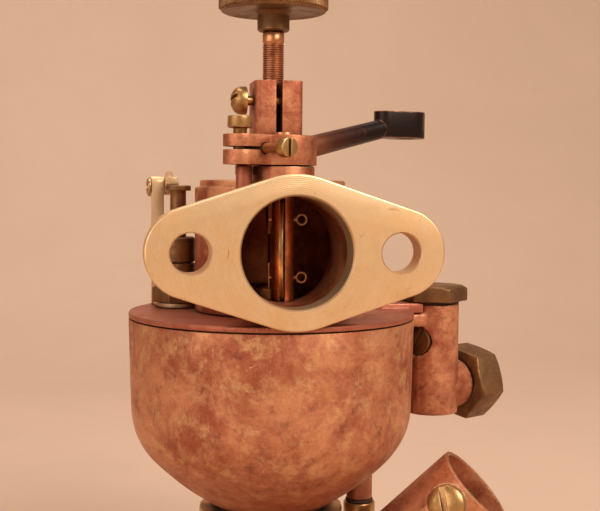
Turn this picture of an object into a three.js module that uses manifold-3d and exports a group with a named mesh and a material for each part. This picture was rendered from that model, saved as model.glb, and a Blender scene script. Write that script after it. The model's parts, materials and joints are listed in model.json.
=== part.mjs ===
// A copper-plated brass updraft float carburetor, in millimetres with +Z up.
// The pieces are laid out in a frame whose Z axis is the fuel needle and whose
// z = 0 is the underside of the bowl cover. The last group moves the whole so
// that the origin is the middle of the outlet bore on the flange face.
import * as THREE from 'three';
import { mergeVertices } from 'three/addons/utils/BufferGeometryUtils.js';
import Module from 'manifold-3d';

const wasm = await Module();
wasm.setup();

// ---- fits ----
const GAP = 0.3;                 // between faces that touch
const FIT = 0.3;                 // round a pin or shaft in its bore
const FINE = 44;                 // sides of a large round
const ROUND = 24;                // sides of a middle round
const SMALL = 16;                // sides of a small round

// ---- outlet and its flange ----
const OUTLET_BORE_R = 18.25;
const OUTLET_WALL = 3.95;
const OUTLET_REACH = 54.6;       // flange face from the needle axis
const OUTLET_Z = 25.9;           // bore centre above the cover's underside
const FLANGE_THICK = 10;
const BOLT_SPACING = 68.3;
const BOLT_HOLE_R = 6.5;
const FLANGE_END_R = 14.6;
const FLANGE_CROWN_R = 25.3;     // top half, about the bore
const FLANGE_TIP_R = 9;          // pointed lower half

// ---- mixing chamber ----
const CHAMBER_R = 28.3;
const CHAMBER_WALL = 3.4;
const CHAMBER_TOP = 47;
const CROWN_R = 26.5;
const CROWN_RISE = 2.5;
const CHAMBER_FLOOR = 5;

// ---- throttle ----
const THROTTLE_BACK = 24;        // shaft axis in front of the needle axis
const SHAFT_R = 4;
const SHAFT_BOSS_R = 10.8;
const SHAFT_BOSS_TOP = 54.2;
const DISC_THICK = 1.3;
const DISC_GAP = 0.4;            // disc rim to bore
const DISC_TURN = -11.5;         // degrees that the disc stands off the bore's line
const SPLIT_PIN_R = 0.8;
const SPLIT_PIN_EYE_R = 1.7;
const SPLIT_PIN_WIRE_R = 0.42;
const SPLIT_PIN_RISE = 10;       // each split pin above and below the bore's middle
const SPLIT_PIN_LEG = 5;

// ---- throttle lever ----
const LEVER_THICK = 10;
const LEVER_HUB_R = 11.5;
const LEVER_TURN = 29.7;         // degrees, direction of the arm from +X
const LUG_REACH = 18.6;
const LUG_R = 5.7;
const SLIT_THICK = 1.1;
const ARM_LENGTH = 59.4;
const ARM_ROOT_R = 3.9;
const ARM_TIP_R = 3.5;
const EYE_NECK_R = 4.4;
const EYE_NECK_LONG = 10.5;
const ARM_RISE = 12;
const EYE_R = 7.2;
const EYE_THICK = 9.8;
const EYE_HOLE_R = 4;
const STOP_SCREW_REACH = 12.5;
const STOP_SCREW_R = 1.7;
const STOP_SCREW_HEAD_R = 3.35;
const STOP_SCREW_HEAD_THICK = 3.75;
const STOP_SCREW_OUT = 9.55;     // shank between the lug and the head
const STOP_SCREW_TAIL = 4;
const PINCH_SCREW_R = 2.3;
const PINCH_HEAD_R = 4.25;
const PINCH_HEAD_THICK = 4;
const PINCH_HEAD_RISE = 2.1;
const STOP_PIN_R = 2.75;
const STOP_PIN_PLACE = [-14.4, -30];
const STOP_PIN_DROP = 0.5;         // pin's top below the lever
const STOP_TOOTH_WIDE = 3;
const STOP_TOOTH_DROP = 3.4;
const STOP_TOOTH_TURN = 24.6;     // degrees round from the lug, behind the stop pin

// ---- needle post, spindle and knob ----
const POST_R = 8;
const POST_SPIGOT_R = 6;
const CLAMP_BASE = 65;
const CLAMP_TOP = 84.5;
const CLAMP_HALF_WIDE = 8.6;
const CLAMP_CORNER_R = 2.4;
const CLAMP_FRONT = 15;
const CLAMP_SLIT = 2.2;
const CLAMP_SCREW_R = 1.75;
const CLAMP_SCREW_FRONT = 10;
const CLAMP_SCREW_Z = 77.5;
const CLAMP_HEAD_R = 5;
const CLAMP_HEAD_THICK = 5.6;
const CLAMP_HEAD_OUT = 2.5;
const SPINDLE_R = 3.95;
const SPINDLE_TOP = 103.1;
const STEM_R = 2.5;
const NEEDLE_R = 1.6;
const NEEDLE_TIP_R = 0.6;
const NEEDLE_ENTRY = 2.5;        // tip inside the nozzle at rest
const NEEDLE_TAPER = 7;
const KNOB_HUB_R = 5.85;
const KNOB_HUB_TALL = 6.8;
const KNOB_R = 19.9;
const KNOB_THICK = 8.6;
const KNOB_EDGE = 1.1;

// ---- float bowl ----
const BOWL_R = 52.2;
const BOWL_TAPER = 0.7;
const BOWL_WALL = 2;
const BOWL_STRAIGHT = 32.5;
const BOWL_CORNER_R = 27;
const BOWL_CORNER_ANGLE = 44;    // degrees of the tight corner
const BOWL_BELLY_R = 104;
const BOWL_BELLY_ANGLE = 17;     // degrees of the shallow belly
const BOWL_FOOT_DROP = 2.2;       // over BOWL_FOOT_WIDE
const BOWL_FOOT_WIDE = 8;
const RIM_GAP = 0.4;

// ---- bowl cover ----
const COVER_THICK = 1.9;
const HOUSING_TALL = 3.8;        // raised cover of the float arm's slot
const HOUSING_HALF_WIDE = 8;

// ---- venturi tube and spray nozzle ----
const RISER_R = 13;
const RISER_WALL = 2;
const THROAT_R = 9;
const RISER_CLEAR = 1;           // riser's top below the throttle disc
const THROAT_TOP = 10;
const THROAT_BASE = 4.5;
const THROAT_ENTRY = -15.5;
const RISER_COLLAR_R = 15.5;
const RISER_COLLAR_THICK = 4;
const NOZZLE_R = 3.2;
const NOZZLE_BORE_R = 2;
const NOZZLE_TOP = 9.5;
const FEED_R = 2.2;
const FEED_BORE_R = 1.1;
const FEED_RISE = 12;            // feed arm above the clamp ring

// ---- fuel chamber at the bowl's side ----
const COLUMN_R = 10.5;
const COLUMN_BORE_R = 7.5;
const COLUMN_TOP = 3;
const COLUMN_BEARING = 8;        // degrees from +X
const COLUMN_STANDOFF = 1.9;     // bowl wall to column wall
const BRIDGE_HALF_WIDE = 8.5;
const BRIDGE_DEEP = 5.2;
const SLOT_HALF_WIDE = 5;
const SLOT_DEEP = 3.9;
const HEX_FLAT = 23.8;           // across the flats of the cap
const CAP_THICK = 5.8;
const CAP_GASKET = 0.5;
const CAP_TURN = 12.8;
const SEAT_TOP = -15.5;
const SEAT_THICK = 4.5;
const SEAT_R = 5.2;
const SEAT_BORE_R = 2.2;
const INLET_Z = -29.5;
const INLET_BEARING = 30;        // degrees from +X
const INLET_BOSS_R = 9.75;
const INLET_BOSS_REACH = 14;
const INLET_BORE_R = 5;
const INLET_THREAD_R = 7.4;
const FUEL_BORE_R = 3;
const NUT_LONG = 13;
const NUT_FLAT = 26;             // across the union nut's flats
const UNION_TURN = 12;           // degrees that the nut stands round
const PLUG_R = 5.5;
const PLUG_Z = -10.9;
const PLUG_BEARING = 218.6;      // degrees from +X, about the column
const PLUG_FACE = 9.6;
const PLUG_THICK = 1.7;

// ---- float and its needle ----
const CORK_IN_R = 19.5;
const CORK_OUT_R = 40;
const CORK_TALL = 18;
const ARM_Z = -1.5;
const ARM_PLATE = 1.2;
const PIVOT_INSET = 0.2;        // pivot inside the bowl's rim
const PIVOT_R = 1;
const PIVOT_HUB_R = 2;
const FORK_HALF_WIDE = 4.4;
const FLOAT_NEEDLE_R = 2.3;
const NEEDLE_COLLAR_R = 3.6;
const COLLAR_PLAY = 1.3;
const COLLAR_THICK = 0.7;

// ---- drain ----
const DRAIN_PLACE = [35, 5];
const DRAIN_BOSS_R = 4.9;
const DRAIN_BOSS_DROP = 11.7;     // boss below the bowl at its middle
const DRAIN_SHANK_R = 2.7;
const DRAIN_WASHER_R = 5.2;
const DRAIN_WASHER_THICK = 0.8;
const DRAIN_HEAD_R = 6;
const DRAIN_HEAD_THICK = 4.5;

// ---- clamp ring and air horn ----
const RING_R = 26.5;
const RING_TOP = -70.5;
const RING_TALL = 6.5;
const HORN_R = 15.5;
const HORN_WALL = 1.5;
const HORN_BEARING = -23.1;      // degrees from +X
const HORN_BEND_R = 23.24;
const HORN_TURN = 134.3;         // degrees that the horn bends through
const HORN_STRAIGHT = 50.2;
const CHOKE_INSET = 8.3;         // choke shaft from the mouth
const CHOKE_ROLL = 14.6;         // degrees that the choke shaft is rolled about the horn
const CHOKE_SHAFT_R = 2.5;
const CHOKE_BOSS_R = 7;
const CHOKE_HEAD_R = 6.7;
const CHOKE_HEAD_THICK = 3.4;
const CHOKE_DISC_THICK = 1.2;
const CHOKE_SLOT_TURN = 150;      // degrees that the head's slot stands round
const CHOKE_SCREW_R = 1.1;
const CHOKE_SCREW_PITCH = 11;
const CHOKE_LEVER_LONG = 18;
const CHOKE_LEVER_THICK = 2.5;
const CHOKE_LEVER_R = 5.5;
const CHOKE_ROD_HOLE_R = 1.6;
const CHOKE_NUT_FLAT = 8.8;
const CHOKE_NUT_THICK = 3;

// ---- tickler ----
const TICKLER_PLACE = [-33.4, 15];
const TICKLER_HEX = 17;
const TICKLER_HEX_TALL = 6;
const TICKLER_TURN = -24.2;      // degrees, a flat towards the mixing chamber
const SLEEVE_R = 6.3;
const SLEEVE_BORE_R = 5;
const SLEEVE_JOINT = 18.7;
const SLEEVE_TOP = 28.3;
const SLEEVE_ROOF = 3;
const PLUNGER_R = 3;
const PLUNGER_DISC_R = 4.8;
const PLUNGER_DISC_THICK = 2;
const PLUNGER_TOP = 47.5;
const ROD_R = 1.4;
const ROD_COLLAR_R = 4.5;
const ROD_COLLAR_THICK = 1.5;
const ROD_TIP_RISE = 0.8;        // rod end above the cork
const SPRING_R = 3.6;
const SPRING_WIRE_R = 0.5;
const SPRING_TURNS = 7;
const FOOT_THICK = 1.5;
const POST_WIDE = 4.7;
const POST_DEEP = 5;
const POST_OUT = 9.5;            // post's outer face from the plunger's axis
const PIVOT_BACK = 10.9;         // tickler pivot behind the plunger's axis
const PIVOT_Z = 46.8;
const TICKLER_POST_TOP = 51;
const TICKLER_SCREW_R = 1.5;
const TICKLER_HEAD_R = 3.6;
const TICKLER_HEAD_THICK = 1.8;
const CAM_HUB_R = 3;
const CAM_WIDE = 4.8;
const CAM_NOSE = 0.8;            // nose in front of the plunger's axis
const CAM_TOP = 50.7;
const CAM_TAIL = 12;

// ---- colours: base colour, roughness, metalness ----
const finish = (color, roughness, metalness) =>
  new THREE.MeshStandardMaterial({ color, roughness, metalness });
const COPPER = finish(0xb8714c, 0.42, 0.9);
const COVER_COPPER = finish(0xa96452, 0.5, 0.85);
const MACHINED = finish(0xdcb483, 0.38, 0.9);
const BRASS = finish(0xa47d43, 0.42, 0.9);
const AGED_BRASS = finish(0x80603a, 0.55, 0.85);
const SPINDLE_COPPER = finish(0xb77a55, 0.35, 0.95);
const CORK = finish(0xb08a5a, 0.85, 0);
const FIBRE = finish(0x3a2a22, 0.9, 0);
const STEEL = finish(0x8c8880, 0.4, 1);

// ---- solids ----
const degrees = THREE.MathUtils.degToRad;

function toSolid(geometry) {
  const bare = geometry.clone();
  bare.deleteAttribute('normal');
  bare.deleteAttribute('uv');
  const merged = mergeVertices(bare, 1e-4);
  const at = merged.attributes.position.array;
  const order = Array.from(merged.index.array);
  const faces = [];
  let volume = 0;
  for (let i = 0; i < order.length; i += 3) {
    const [a, b, c] = [order[i], order[i + 1], order[i + 2]];
    if (a === b || b === c || c === a) continue;
    faces.push(a, b, c);
    const corner = (n) => new THREE.Vector3().fromArray(at, 3 * n);
    volume += corner(a).dot(corner(b).cross(corner(c)));
  }
  if (volume < 0) faces.reverse();
  const mesh = new wasm.Mesh({
    numProp: 3,
    vertProperties: new Float32Array(at),
    triVerts: new Uint32Array(faces),
  });
  return new wasm.Manifold(mesh);
}

function toGeometry(solid) {
  const mesh = solid.getMesh();
  const geometry = new THREE.BufferGeometry();
  geometry.setAttribute('position', new THREE.BufferAttribute(mesh.vertProperties, 3));
  geometry.setIndex(new THREE.BufferAttribute(mesh.triVerts, 1));
  return geometry;
}

const join = (first, ...rest) =>
  toGeometry(rest.reduce((sum, next) => sum.add(toSolid(next)), toSolid(first)));
const cut = (first, ...rest) =>
  toGeometry(rest.reduce((sum, next) => sum.subtract(toSolid(next)), toSolid(first)));
const common = (first, second) => toGeometry(toSolid(first).intersect(toSolid(second)));

// A rod along Z from z0 to z1.
function rod(radius, z0, z1, sides = ROUND, topRadius = radius) {
  const shape = new THREE.CylinderGeometry(topRadius, radius, z1 - z0, sides);
  return shape.rotateX(Math.PI / 2).translate(0, 0, (z0 + z1) / 2);
}

// A rod between two points, with a radius at each.
function rodBetween(from, to, radius, toRadius = radius, sides = SMALL) {
  const a = new THREE.Vector3(...from);
  const b = new THREE.Vector3(...to);
  const along = b.clone().sub(a);
  const shape = new THREE.CylinderGeometry(toRadius, radius, along.length(), sides);
  const turn = new THREE.Quaternion().setFromUnitVectors(new THREE.Vector3(0, 1, 0), along.normalize());
  return shape.applyQuaternion(turn).translate(...a.add(b).multiplyScalar(0.5).toArray());
}

function block(x0, x1, y0, y1, z0, z1) {
  const shape = new THREE.BoxGeometry(x1 - x0, y1 - y0, z1 - z0);
  return shape.translate((x0 + x1) / 2, (y0 + y1) / 2, (z0 + z1) / 2);
}

// A turned piece: its profile is [radius, z] points, ending on the axis or closed.
function turned(profile, sides = ROUND) {
  const onAxis = profile[0][0] === 0;
  const ring = onAxis ? profile : [...profile, profile[0]];
  const points = ring.map(([r, z]) => new THREE.Vector2(r, z));
  return new THREE.LatheGeometry(points, sides).rotateX(Math.PI / 2);
}

// A flat outline extruded from z0 to z1.
function plate(shape, z0, z1, curveSegments = 8) {
  const solid = new THREE.ExtrudeGeometry(shape, { depth: z1 - z0, bevelEnabled: false, curveSegments });
  return solid.translate(0, 0, z0);
}

// A round tube along a path, solid right through.
function swept(path, radius, steps, sides = ROUND) {
  const section = new THREE.Shape();
  section.absarc(0, 0, radius, 0, 2 * Math.PI);
  return new THREE.ExtrudeGeometry(section, { steps, extrudePath: path, curveSegments: sides / 2 });
}

// The belt round circles [x, y, r], given anticlockwise.
function belt(circles) {
  const shape = new THREE.Shape();
  const heading = circles.map(([x, y, r], i) => {
    const [nextX, nextY, nextR] = circles[(i + 1) % circles.length];
    const far = Math.hypot(nextX - x, nextY - y);
    return Math.atan2(nextY - y, nextX - x) - Math.acos((r - nextR) / far);
  });
  circles.forEach(([x, y, r], i) => {
    const start = heading[(i + circles.length - 1) % circles.length];
    const turn = THREE.MathUtils.euclideanModulo(heading[i] - start, 2 * Math.PI);
    shape.absarc(x, y, r, start, start + turn, false);
  });
  return shape;
}

// A hexagonal bar along Z, its corners chamfered at the ends that are asked for.
function hexBar(flats, z0, z1, chamferTop = true, chamferBase = false) {
  const corner = flats / Math.sqrt(3);
  const slack = corner - flats / 2;
  const bar = rod(corner, z0, z1, 6);
  const profile = [[0, z0], [chamferBase ? flats / 2 : corner + 1, z0]];
  if (chamferBase) profile.push([corner + 0.1, z0 + slack * 0.6]);
  if (chamferTop) profile.push([corner + 0.1, z1 - slack * 0.6]);
  profile.push([chamferTop ? flats / 2 : corner + 1, z1], [0, z1]);
  return common(bar, turned(profile, ROUND));
}

// Points of an arc in the profile plane, angles in degrees.
function arc(centreR, centreZ, radius, from, to, steps) {
  return Array.from({ length: steps + 1 }, (_, i) => {
    const angle = degrees(from + ((to - from) * i) / steps);
    return [centreR + radius * Math.cos(angle), centreZ + radius * Math.sin(angle)];
  });
}

// A slotted screw along Z: the head's seat is z = 0 and its shank goes down.
function screw(shankR, shankLong, headR, headThick, dome, slotWide) {
  const edge = headThick * (dome ? 0.35 : 1);
  const flattened = ([r, z]) => [r, edge + (z - edge) * dome];
  const crown = dome ? arc(0, edge, headR, 15, 90, 4).map(flattened) : [[0, edge]];
  const head = turned([[0, 0], [headR, 0], [headR, edge], ...crown], SMALL + 4);
  const top = dome ? edge + headR * dome : edge;
  const slotFloor = top - headThick * 0.38;
  const slot = block(-slotWide / 2, slotWide / 2, -2 * headR, 2 * headR, slotFloor, top + 1);
  return join(cut(head, slot), rod(shankR, -shankLong, headThick * 0.3, SMALL));
}

// ---- the assembly and its groups ----
const carburetor = new THREE.Group();
carburetor.position.set(0, OUTLET_REACH, -OUTLET_Z);

function group(parent, x, y, z, rx = 0, ry = 0, rz = 0) {
  const inner = new THREE.Group();
  inner.position.set(x, y, z);
  inner.rotation.set(degrees(rx), degrees(ry), degrees(rz));
  parent.add(inner);
  return inner;
}

function add(parent, name, geometry, material) {
  const mesh = new THREE.Mesh(geometry, material);
  mesh.name = name;
  parent.add(mesh);
}

// ---- places worked out from the driving dimensions ----
const outletR = OUTLET_BORE_R + OUTLET_WALL;
const bodyBase = COVER_THICK + GAP;
const shaftSocket = OUTLET_Z - OUTLET_BORE_R - OUTLET_WALL + 1.5;   // foot of the throttle shaft's hole
const chamberCrown = CHAMBER_TOP + CROWN_RISE;
const discR = OUTLET_BORE_R - DISC_GAP;
const leverBase = SHAFT_BOSS_TOP + GAP;
const leverTop = leverBase + LEVER_THICK;
const stopScrewZ = leverBase + LEVER_THICK / 2 + 0.4;
const columnReach = BOWL_R + COLUMN_STANDOFF + COLUMN_R;
const middle = new THREE.Vector2();
const column = new THREE.Vector2(columnReach, 0).rotateAround(middle, degrees(COLUMN_BEARING));
const pivotReach = BOWL_R - PIVOT_INSET;
const capBase = COLUMN_TOP + GAP + CAP_GASKET + GAP;
const corkTop = ARM_Z - ARM_PLATE / 2 - GAP;
const corkBottom = corkTop - CORK_TALL;
const nozzleEntry = NOZZLE_TOP - NEEDLE_ENTRY;
const stopPinBase = OUTLET_Z + Math.sqrt(outletR ** 2 - STOP_PIN_PLACE[0] ** 2) - 2.5;

// The bowl's outside, from the rim down to the hole in its foot.
const cornerR = BOWL_R - BOWL_TAPER - BOWL_CORNER_R;
const cornerEnd = degrees(-BOWL_CORNER_ANGLE);
const bellyR = cornerR - (BOWL_BELLY_R - BOWL_CORNER_R) * Math.cos(cornerEnd);
const bellyZ = -BOWL_STRAIGHT - (BOWL_BELLY_R - BOWL_CORNER_R) * Math.sin(cornerEnd);
const bellyEnd = -BOWL_CORNER_ANGLE - BOWL_BELLY_ANGLE;

function bowlProfile(inset) {
  const corner = arc(cornerR, -BOWL_STRAIGHT, BOWL_CORNER_R - inset, 0, -BOWL_CORNER_ANGLE, 5);
  const belly = arc(bellyR, bellyZ, BOWL_BELLY_R - inset, -BOWL_CORNER_ANGLE, bellyEnd, 3).slice(1);
  const [lastR, lastZ] = belly[belly.length - 1];
  const holeR = RISER_R + FIT;
  const holeZ = lastZ - BOWL_FOOT_DROP * (lastR - holeR) / BOWL_FOOT_WIDE;
  return [[BOWL_R - inset, -RIM_GAP], ...corner, ...belly, [holeR, holeZ]];
}
const outside = bowlProfile(0);
const [footR, footZ] = outside[outside.length - 1];
const [bellyLastR, bellyLastZ] = outside[outside.length - 2];
const footSlope = (bellyLastZ - footZ) / (bellyLastR - footR);
const footAt = (r) => footZ + footSlope * (r - footR);
const ringBase = RING_TOP - RING_TALL;
const drainReach = Math.hypot(...DRAIN_PLACE);
const bellyAt = bellyZ - Math.sqrt(BOWL_BELLY_R ** 2 - (drainReach - bellyR) ** 2);
const drainBottom = bellyAt - DRAIN_BOSS_DROP;
const hexBase = bodyBase + FOOT_THICK + GAP;
const hexTop = hexBase + TICKLER_HEX_TALL;
function ticklerHex(slack, z0, z1) {
  return hexBar(TICKLER_HEX + slack, z0, z1, slack === 0).rotateZ(degrees(TICKLER_TURN));
}
const neckTop = footAt(footR) - GAP;

// ---- mixing chamber with its outlet and flange ----
function alongOutlet(shape) {
  return shape.rotateX(Math.PI / 2).translate(0, 0, OUTLET_Z);
}

function mixingChamber() {
  const half = BOLT_SPACING / 2;
  const tipY = -(FLANGE_CROWN_R - FLANGE_TIP_R);
  const right = [half, 0, FLANGE_END_R];
  const left = [-half, 0, FLANGE_END_R];
  const ends = [right, [0, 0, FLANGE_CROWN_R], left, [0, tipY, FLANGE_TIP_R]];
  const flange = alongOutlet(plate(belt(ends), OUTLET_REACH - FLANGE_THICK, OUTLET_REACH, 12));
  const outlet = alongOutlet(rod(outletR, 0, OUTLET_REACH - FLANGE_THICK / 2, FINE));
  const crown = rod(CROWN_R, CHAMBER_TOP - 1, chamberCrown, FINE);
  const shaftBoss = rod(SHAFT_BOSS_R, OUTLET_Z + OUTLET_BORE_R + 1, SHAFT_BOSS_TOP);
  shaftBoss.translate(0, -THROTTLE_BACK, 0);
  const body = join(rod(CHAMBER_R, bodyBase, CHAMBER_TOP, FINE), crown, outlet, flange, shaftBoss);

  const roof = CHAMBER_TOP - CHAMBER_WALL;
  const floor = bodyBase + CHAMBER_FLOOR;
  const chamber = rod(CHAMBER_R - CHAMBER_WALL, floor, roof, FINE);
  const bore = alongOutlet(rod(OUTLET_BORE_R, 0, OUTLET_REACH + 1, FINE));
  const boltHole = (side) => {
    const hole = rod(BOLT_HOLE_R, OUTLET_REACH - FLANGE_THICK - 1, OUTLET_REACH + 1, ROUND);
    return alongOutlet(hole).translate(side * half, 0, 0);
  };
  const shaftHole = rod(SHAFT_R + FIT, shaftSocket, SHAFT_BOSS_TOP + 1, SMALL);
  shaftHole.translate(0, -THROTTLE_BACK, 0);
  const riserHole = rod(RISER_R + FIT, bodyBase - 1, floor + 1);
  const coverClear = rod(BOWL_R + GAP, bodyBase - 10, bodyBase, FINE);
  const postHole = rod(POST_SPIGOT_R + FIT, roof - 1, chamberCrown + 1, SMALL);
  const pinHole = rod(STOP_PIN_R + FIT, stopPinBase - FIT, chamberCrown + 5, SMALL);
  pinHole.translate(...STOP_PIN_PLACE, 0);
  const ticklerClear = ticklerHex(2 * GAP, bodyBase - 1, hexTop + GAP).translate(...TICKLER_PLACE, 0);
  return cut(body, chamber, bore, boltHole(1), boltHole(-1), shaftHole, riserHole, coverClear,
    postHole, pinHole, ticklerClear);
}
add(carburetor, 'mixing_chamber', mixingChamber(), MACHINED);
const stopPin = rod(STOP_PIN_R, stopPinBase, leverBase - STOP_PIN_DROP, SMALL);
add(carburetor, 'stop_pin', stopPin.translate(...STOP_PIN_PLACE, 0), COPPER);

// ---- throttle: shaft, disc, split pins and lever turn together ----
const throttle = group(carburetor, 0, -THROTTLE_BACK, 0);
const valve = group(throttle, 0, 0, OUTLET_Z, 0, 0, DISC_TURN);

function throttleShaft() {
  const shaft = rod(SHAFT_R, shaftSocket + FIT - OUTLET_Z, leverTop + 1.2 - OUTLET_Z, SMALL + 4);
  const slotHalf = DISC_THICK / 2 + GAP;
  const slotReach = discR + GAP;
  const slot = block(-slotHalf, slotHalf, -SHAFT_R - 1, SHAFT_R + 1, -slotReach, slotReach);
  const holes = [-1, 1].map((side) => rod(SPLIT_PIN_R + FIT, -SHAFT_R - 1, SHAFT_R + 1, SMALL)
    .rotateY(Math.PI / 2).translate(0, 0, side * SPLIT_PIN_RISE));
  return cut(shaft, slot, ...holes);
}

function throttleDisc() {
  const disc = rod(discR, -DISC_THICK / 2, DISC_THICK / 2, FINE).rotateY(Math.PI / 2);
  const holes = [-1, 1].map((side) => rod(SPLIT_PIN_R + FIT, -2, 2, SMALL)
    .rotateY(Math.PI / 2).translate(0, 0, side * SPLIT_PIN_RISE));
  return cut(disc, ...holes);
}

function splitPin() {
  const out = SHAFT_R + GAP;
  const eye = new THREE.TorusGeometry(SPLIT_PIN_EYE_R, SPLIT_PIN_WIRE_R, 10, SMALL);
  eye.rotateX(Math.PI / 2).translate(out + SPLIT_PIN_EYE_R + SPLIT_PIN_WIRE_R, 0, 0);
  const bend = -out - SPLIT_PIN_WIRE_R;
  const legEnds = [[bend, 0, -SPLIT_PIN_LEG], [bend, 0, SPLIT_PIN_LEG]];
  const shank = rodBetween([out + SPLIT_PIN_WIRE_R, 0, 0], [bend, 0, 0], SPLIT_PIN_R, SPLIT_PIN_R, 12);
  return join(eye, shank, rodBetween(...legEnds, SPLIT_PIN_WIRE_R, SPLIT_PIN_WIRE_R, 10));
}
add(valve, 'throttle_shaft', throttleShaft(), SPINDLE_COPPER);
add(valve, 'throttle_disc', throttleDisc(), BRASS);
add(group(valve, 0, 0, SPLIT_PIN_RISE), 'split_pin_upper', splitPin(), BRASS);
add(group(valve, 0, 0, -SPLIT_PIN_RISE), 'split_pin_lower', splitPin(), BRASS);

// The lever's own frame has +X along the arm.
const lever = group(throttle, 0, 0, leverBase, 0, 0, LEVER_TURN);
const eyeBase = LEVER_THICK + 1.2;
const armEnd = ARM_LENGTH - EYE_R + 1.5;
const slitZ = stopScrewZ - leverBase;

function throttleLever() {
  const lug = plate(belt([[0, 0, LUG_R], [-LUG_REACH, 0, LUG_R]]), 0, LEVER_THICK);
  const neck = [ARM_LENGTH - EYE_NECK_LONG, 0, EYE_NECK_R];
  const eye = plate(belt([[ARM_LENGTH, 0, EYE_R], neck]), eyeBase, eyeBase + EYE_THICK);
  const armZ = LEVER_THICK * 0.4;
  const arm = rodBetween([0, 0, armZ], [armEnd, 0, armZ + ARM_RISE], ARM_ROOT_R, ARM_TIP_R);
  const [toothIn, toothOut, toothHalf] = [SHAFT_BOSS_R + 2 * GAP, LUG_REACH - 2, STOP_TOOTH_WIDE / 2];
  const tooth = block(-toothOut, -toothIn, -toothHalf, toothHalf, -STOP_TOOTH_DROP, LEVER_THICK / 2);
  tooth.rotateZ(degrees(-STOP_TOOTH_TURN));
  const whole = join(rod(LEVER_HUB_R, 0, LEVER_THICK, ROUND), lug, arm, eye, tooth);
  const slit = block(-LUG_REACH - LUG_R - 1, -STOP_SCREW_REACH, -LUG_R - 6, LUG_R + 6,
    slitZ - SLIT_THICK / 2, slitZ + SLIT_THICK / 2);
  const shaftHole = rod(SHAFT_R + FIT, -1, LEVER_THICK + 1, SMALL);
  const eyeHole = rod(EYE_HOLE_R, eyeBase - 3, eyeBase + EYE_THICK + 3, SMALL).translate(ARM_LENGTH, 0, 0);
  const stopHole = rod(STOP_SCREW_R + FIT, -2 * LEVER_HUB_R, 2 * LEVER_HUB_R, SMALL);
  stopHole.rotateX(Math.PI / 2).translate(-STOP_SCREW_REACH, 0, slitZ);
  const pinchHole = rod(PINCH_SCREW_R + FIT, 1.2, LEVER_THICK + 1, SMALL).translate(-LUG_REACH, 0, 0);
  return cut(whole, slit, shaftHole, eyeHole, stopHole, pinchHole);
}
add(lever, 'throttle_lever', throttleLever(), COPPER);
const pinchPlace = group(lever, -LUG_REACH, 0, LEVER_THICK + PINCH_HEAD_RISE, 0, 0, 50);
const pinchLong = LEVER_THICK + PINCH_HEAD_RISE - 1.8;
add(pinchPlace, 'lever_pinch_screw',
  screw(PINCH_SCREW_R, pinchLong, PINCH_HEAD_R, PINCH_HEAD_THICK, 0, 1.2), BRASS);
const stopPlace = group(lever, -STOP_SCREW_REACH, -LUG_R - STOP_SCREW_OUT, slitZ, 90, 0, 0);
const stopLong = STOP_SCREW_OUT + 2 * LUG_R + STOP_SCREW_TAIL;
add(stopPlace, 'stop_screw',
  screw(STOP_SCREW_R, stopLong, STOP_SCREW_HEAD_R, STOP_SCREW_HEAD_THICK, 0, 1), BRASS);

// ---- needle post, spindle and knob ----
function needlePost() {
  const side = CLAMP_HALF_WIDE - CLAMP_CORNER_R;
  const front = CLAMP_CORNER_R - CLAMP_FRONT;
  const corners = [[-side, front, CLAMP_CORNER_R], [side, front, CLAMP_CORNER_R]];
  const head = join(rod(POST_R, chamberCrown + GAP, CLAMP_TOP, ROUND),
    plate(belt([...corners, [0, 0, CLAMP_HALF_WIDE]]), CLAMP_BASE, CLAMP_TOP),
    rod(POST_SPIGOT_R, CHAMBER_TOP - CHAMBER_WALL + GAP, chamberCrown + 1, SMALL));
  const spindleHole = rod(SPINDLE_R + FIT, CHAMBER_TOP - CHAMBER_WALL - 1, CLAMP_TOP + 1, SMALL);
  const slit = block(-CLAMP_SLIT / 2, CLAMP_SLIT / 2, -CLAMP_FRONT - 1, 0, CLAMP_BASE - 1.5, CLAMP_TOP + 1);
  const screwHole = rod(CLAMP_SCREW_R + FIT, -CLAMP_HALF_WIDE - 1, CLAMP_HALF_WIDE - 1.5, SMALL);
  screwHole.rotateY(Math.PI / 2).translate(0, -CLAMP_SCREW_FRONT, CLAMP_SCREW_Z);
  return cut(head, spindleHole, slit, screwHole);
}
add(carburetor, 'needle_post', needlePost(), COPPER);
const clampHead = -CLAMP_HALF_WIDE - CLAMP_HEAD_OUT;
const clampLong = CLAMP_HEAD_OUT + 2 * CLAMP_HALF_WIDE - 2;
add(group(carburetor, clampHead, -CLAMP_SCREW_FRONT, CLAMP_SCREW_Z, 0, -90, 25), 'post_pinch_screw',
  screw(CLAMP_SCREW_R, clampLong, CLAMP_HEAD_R, CLAMP_HEAD_THICK, 0.75, 1.3), BRASS);

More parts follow.
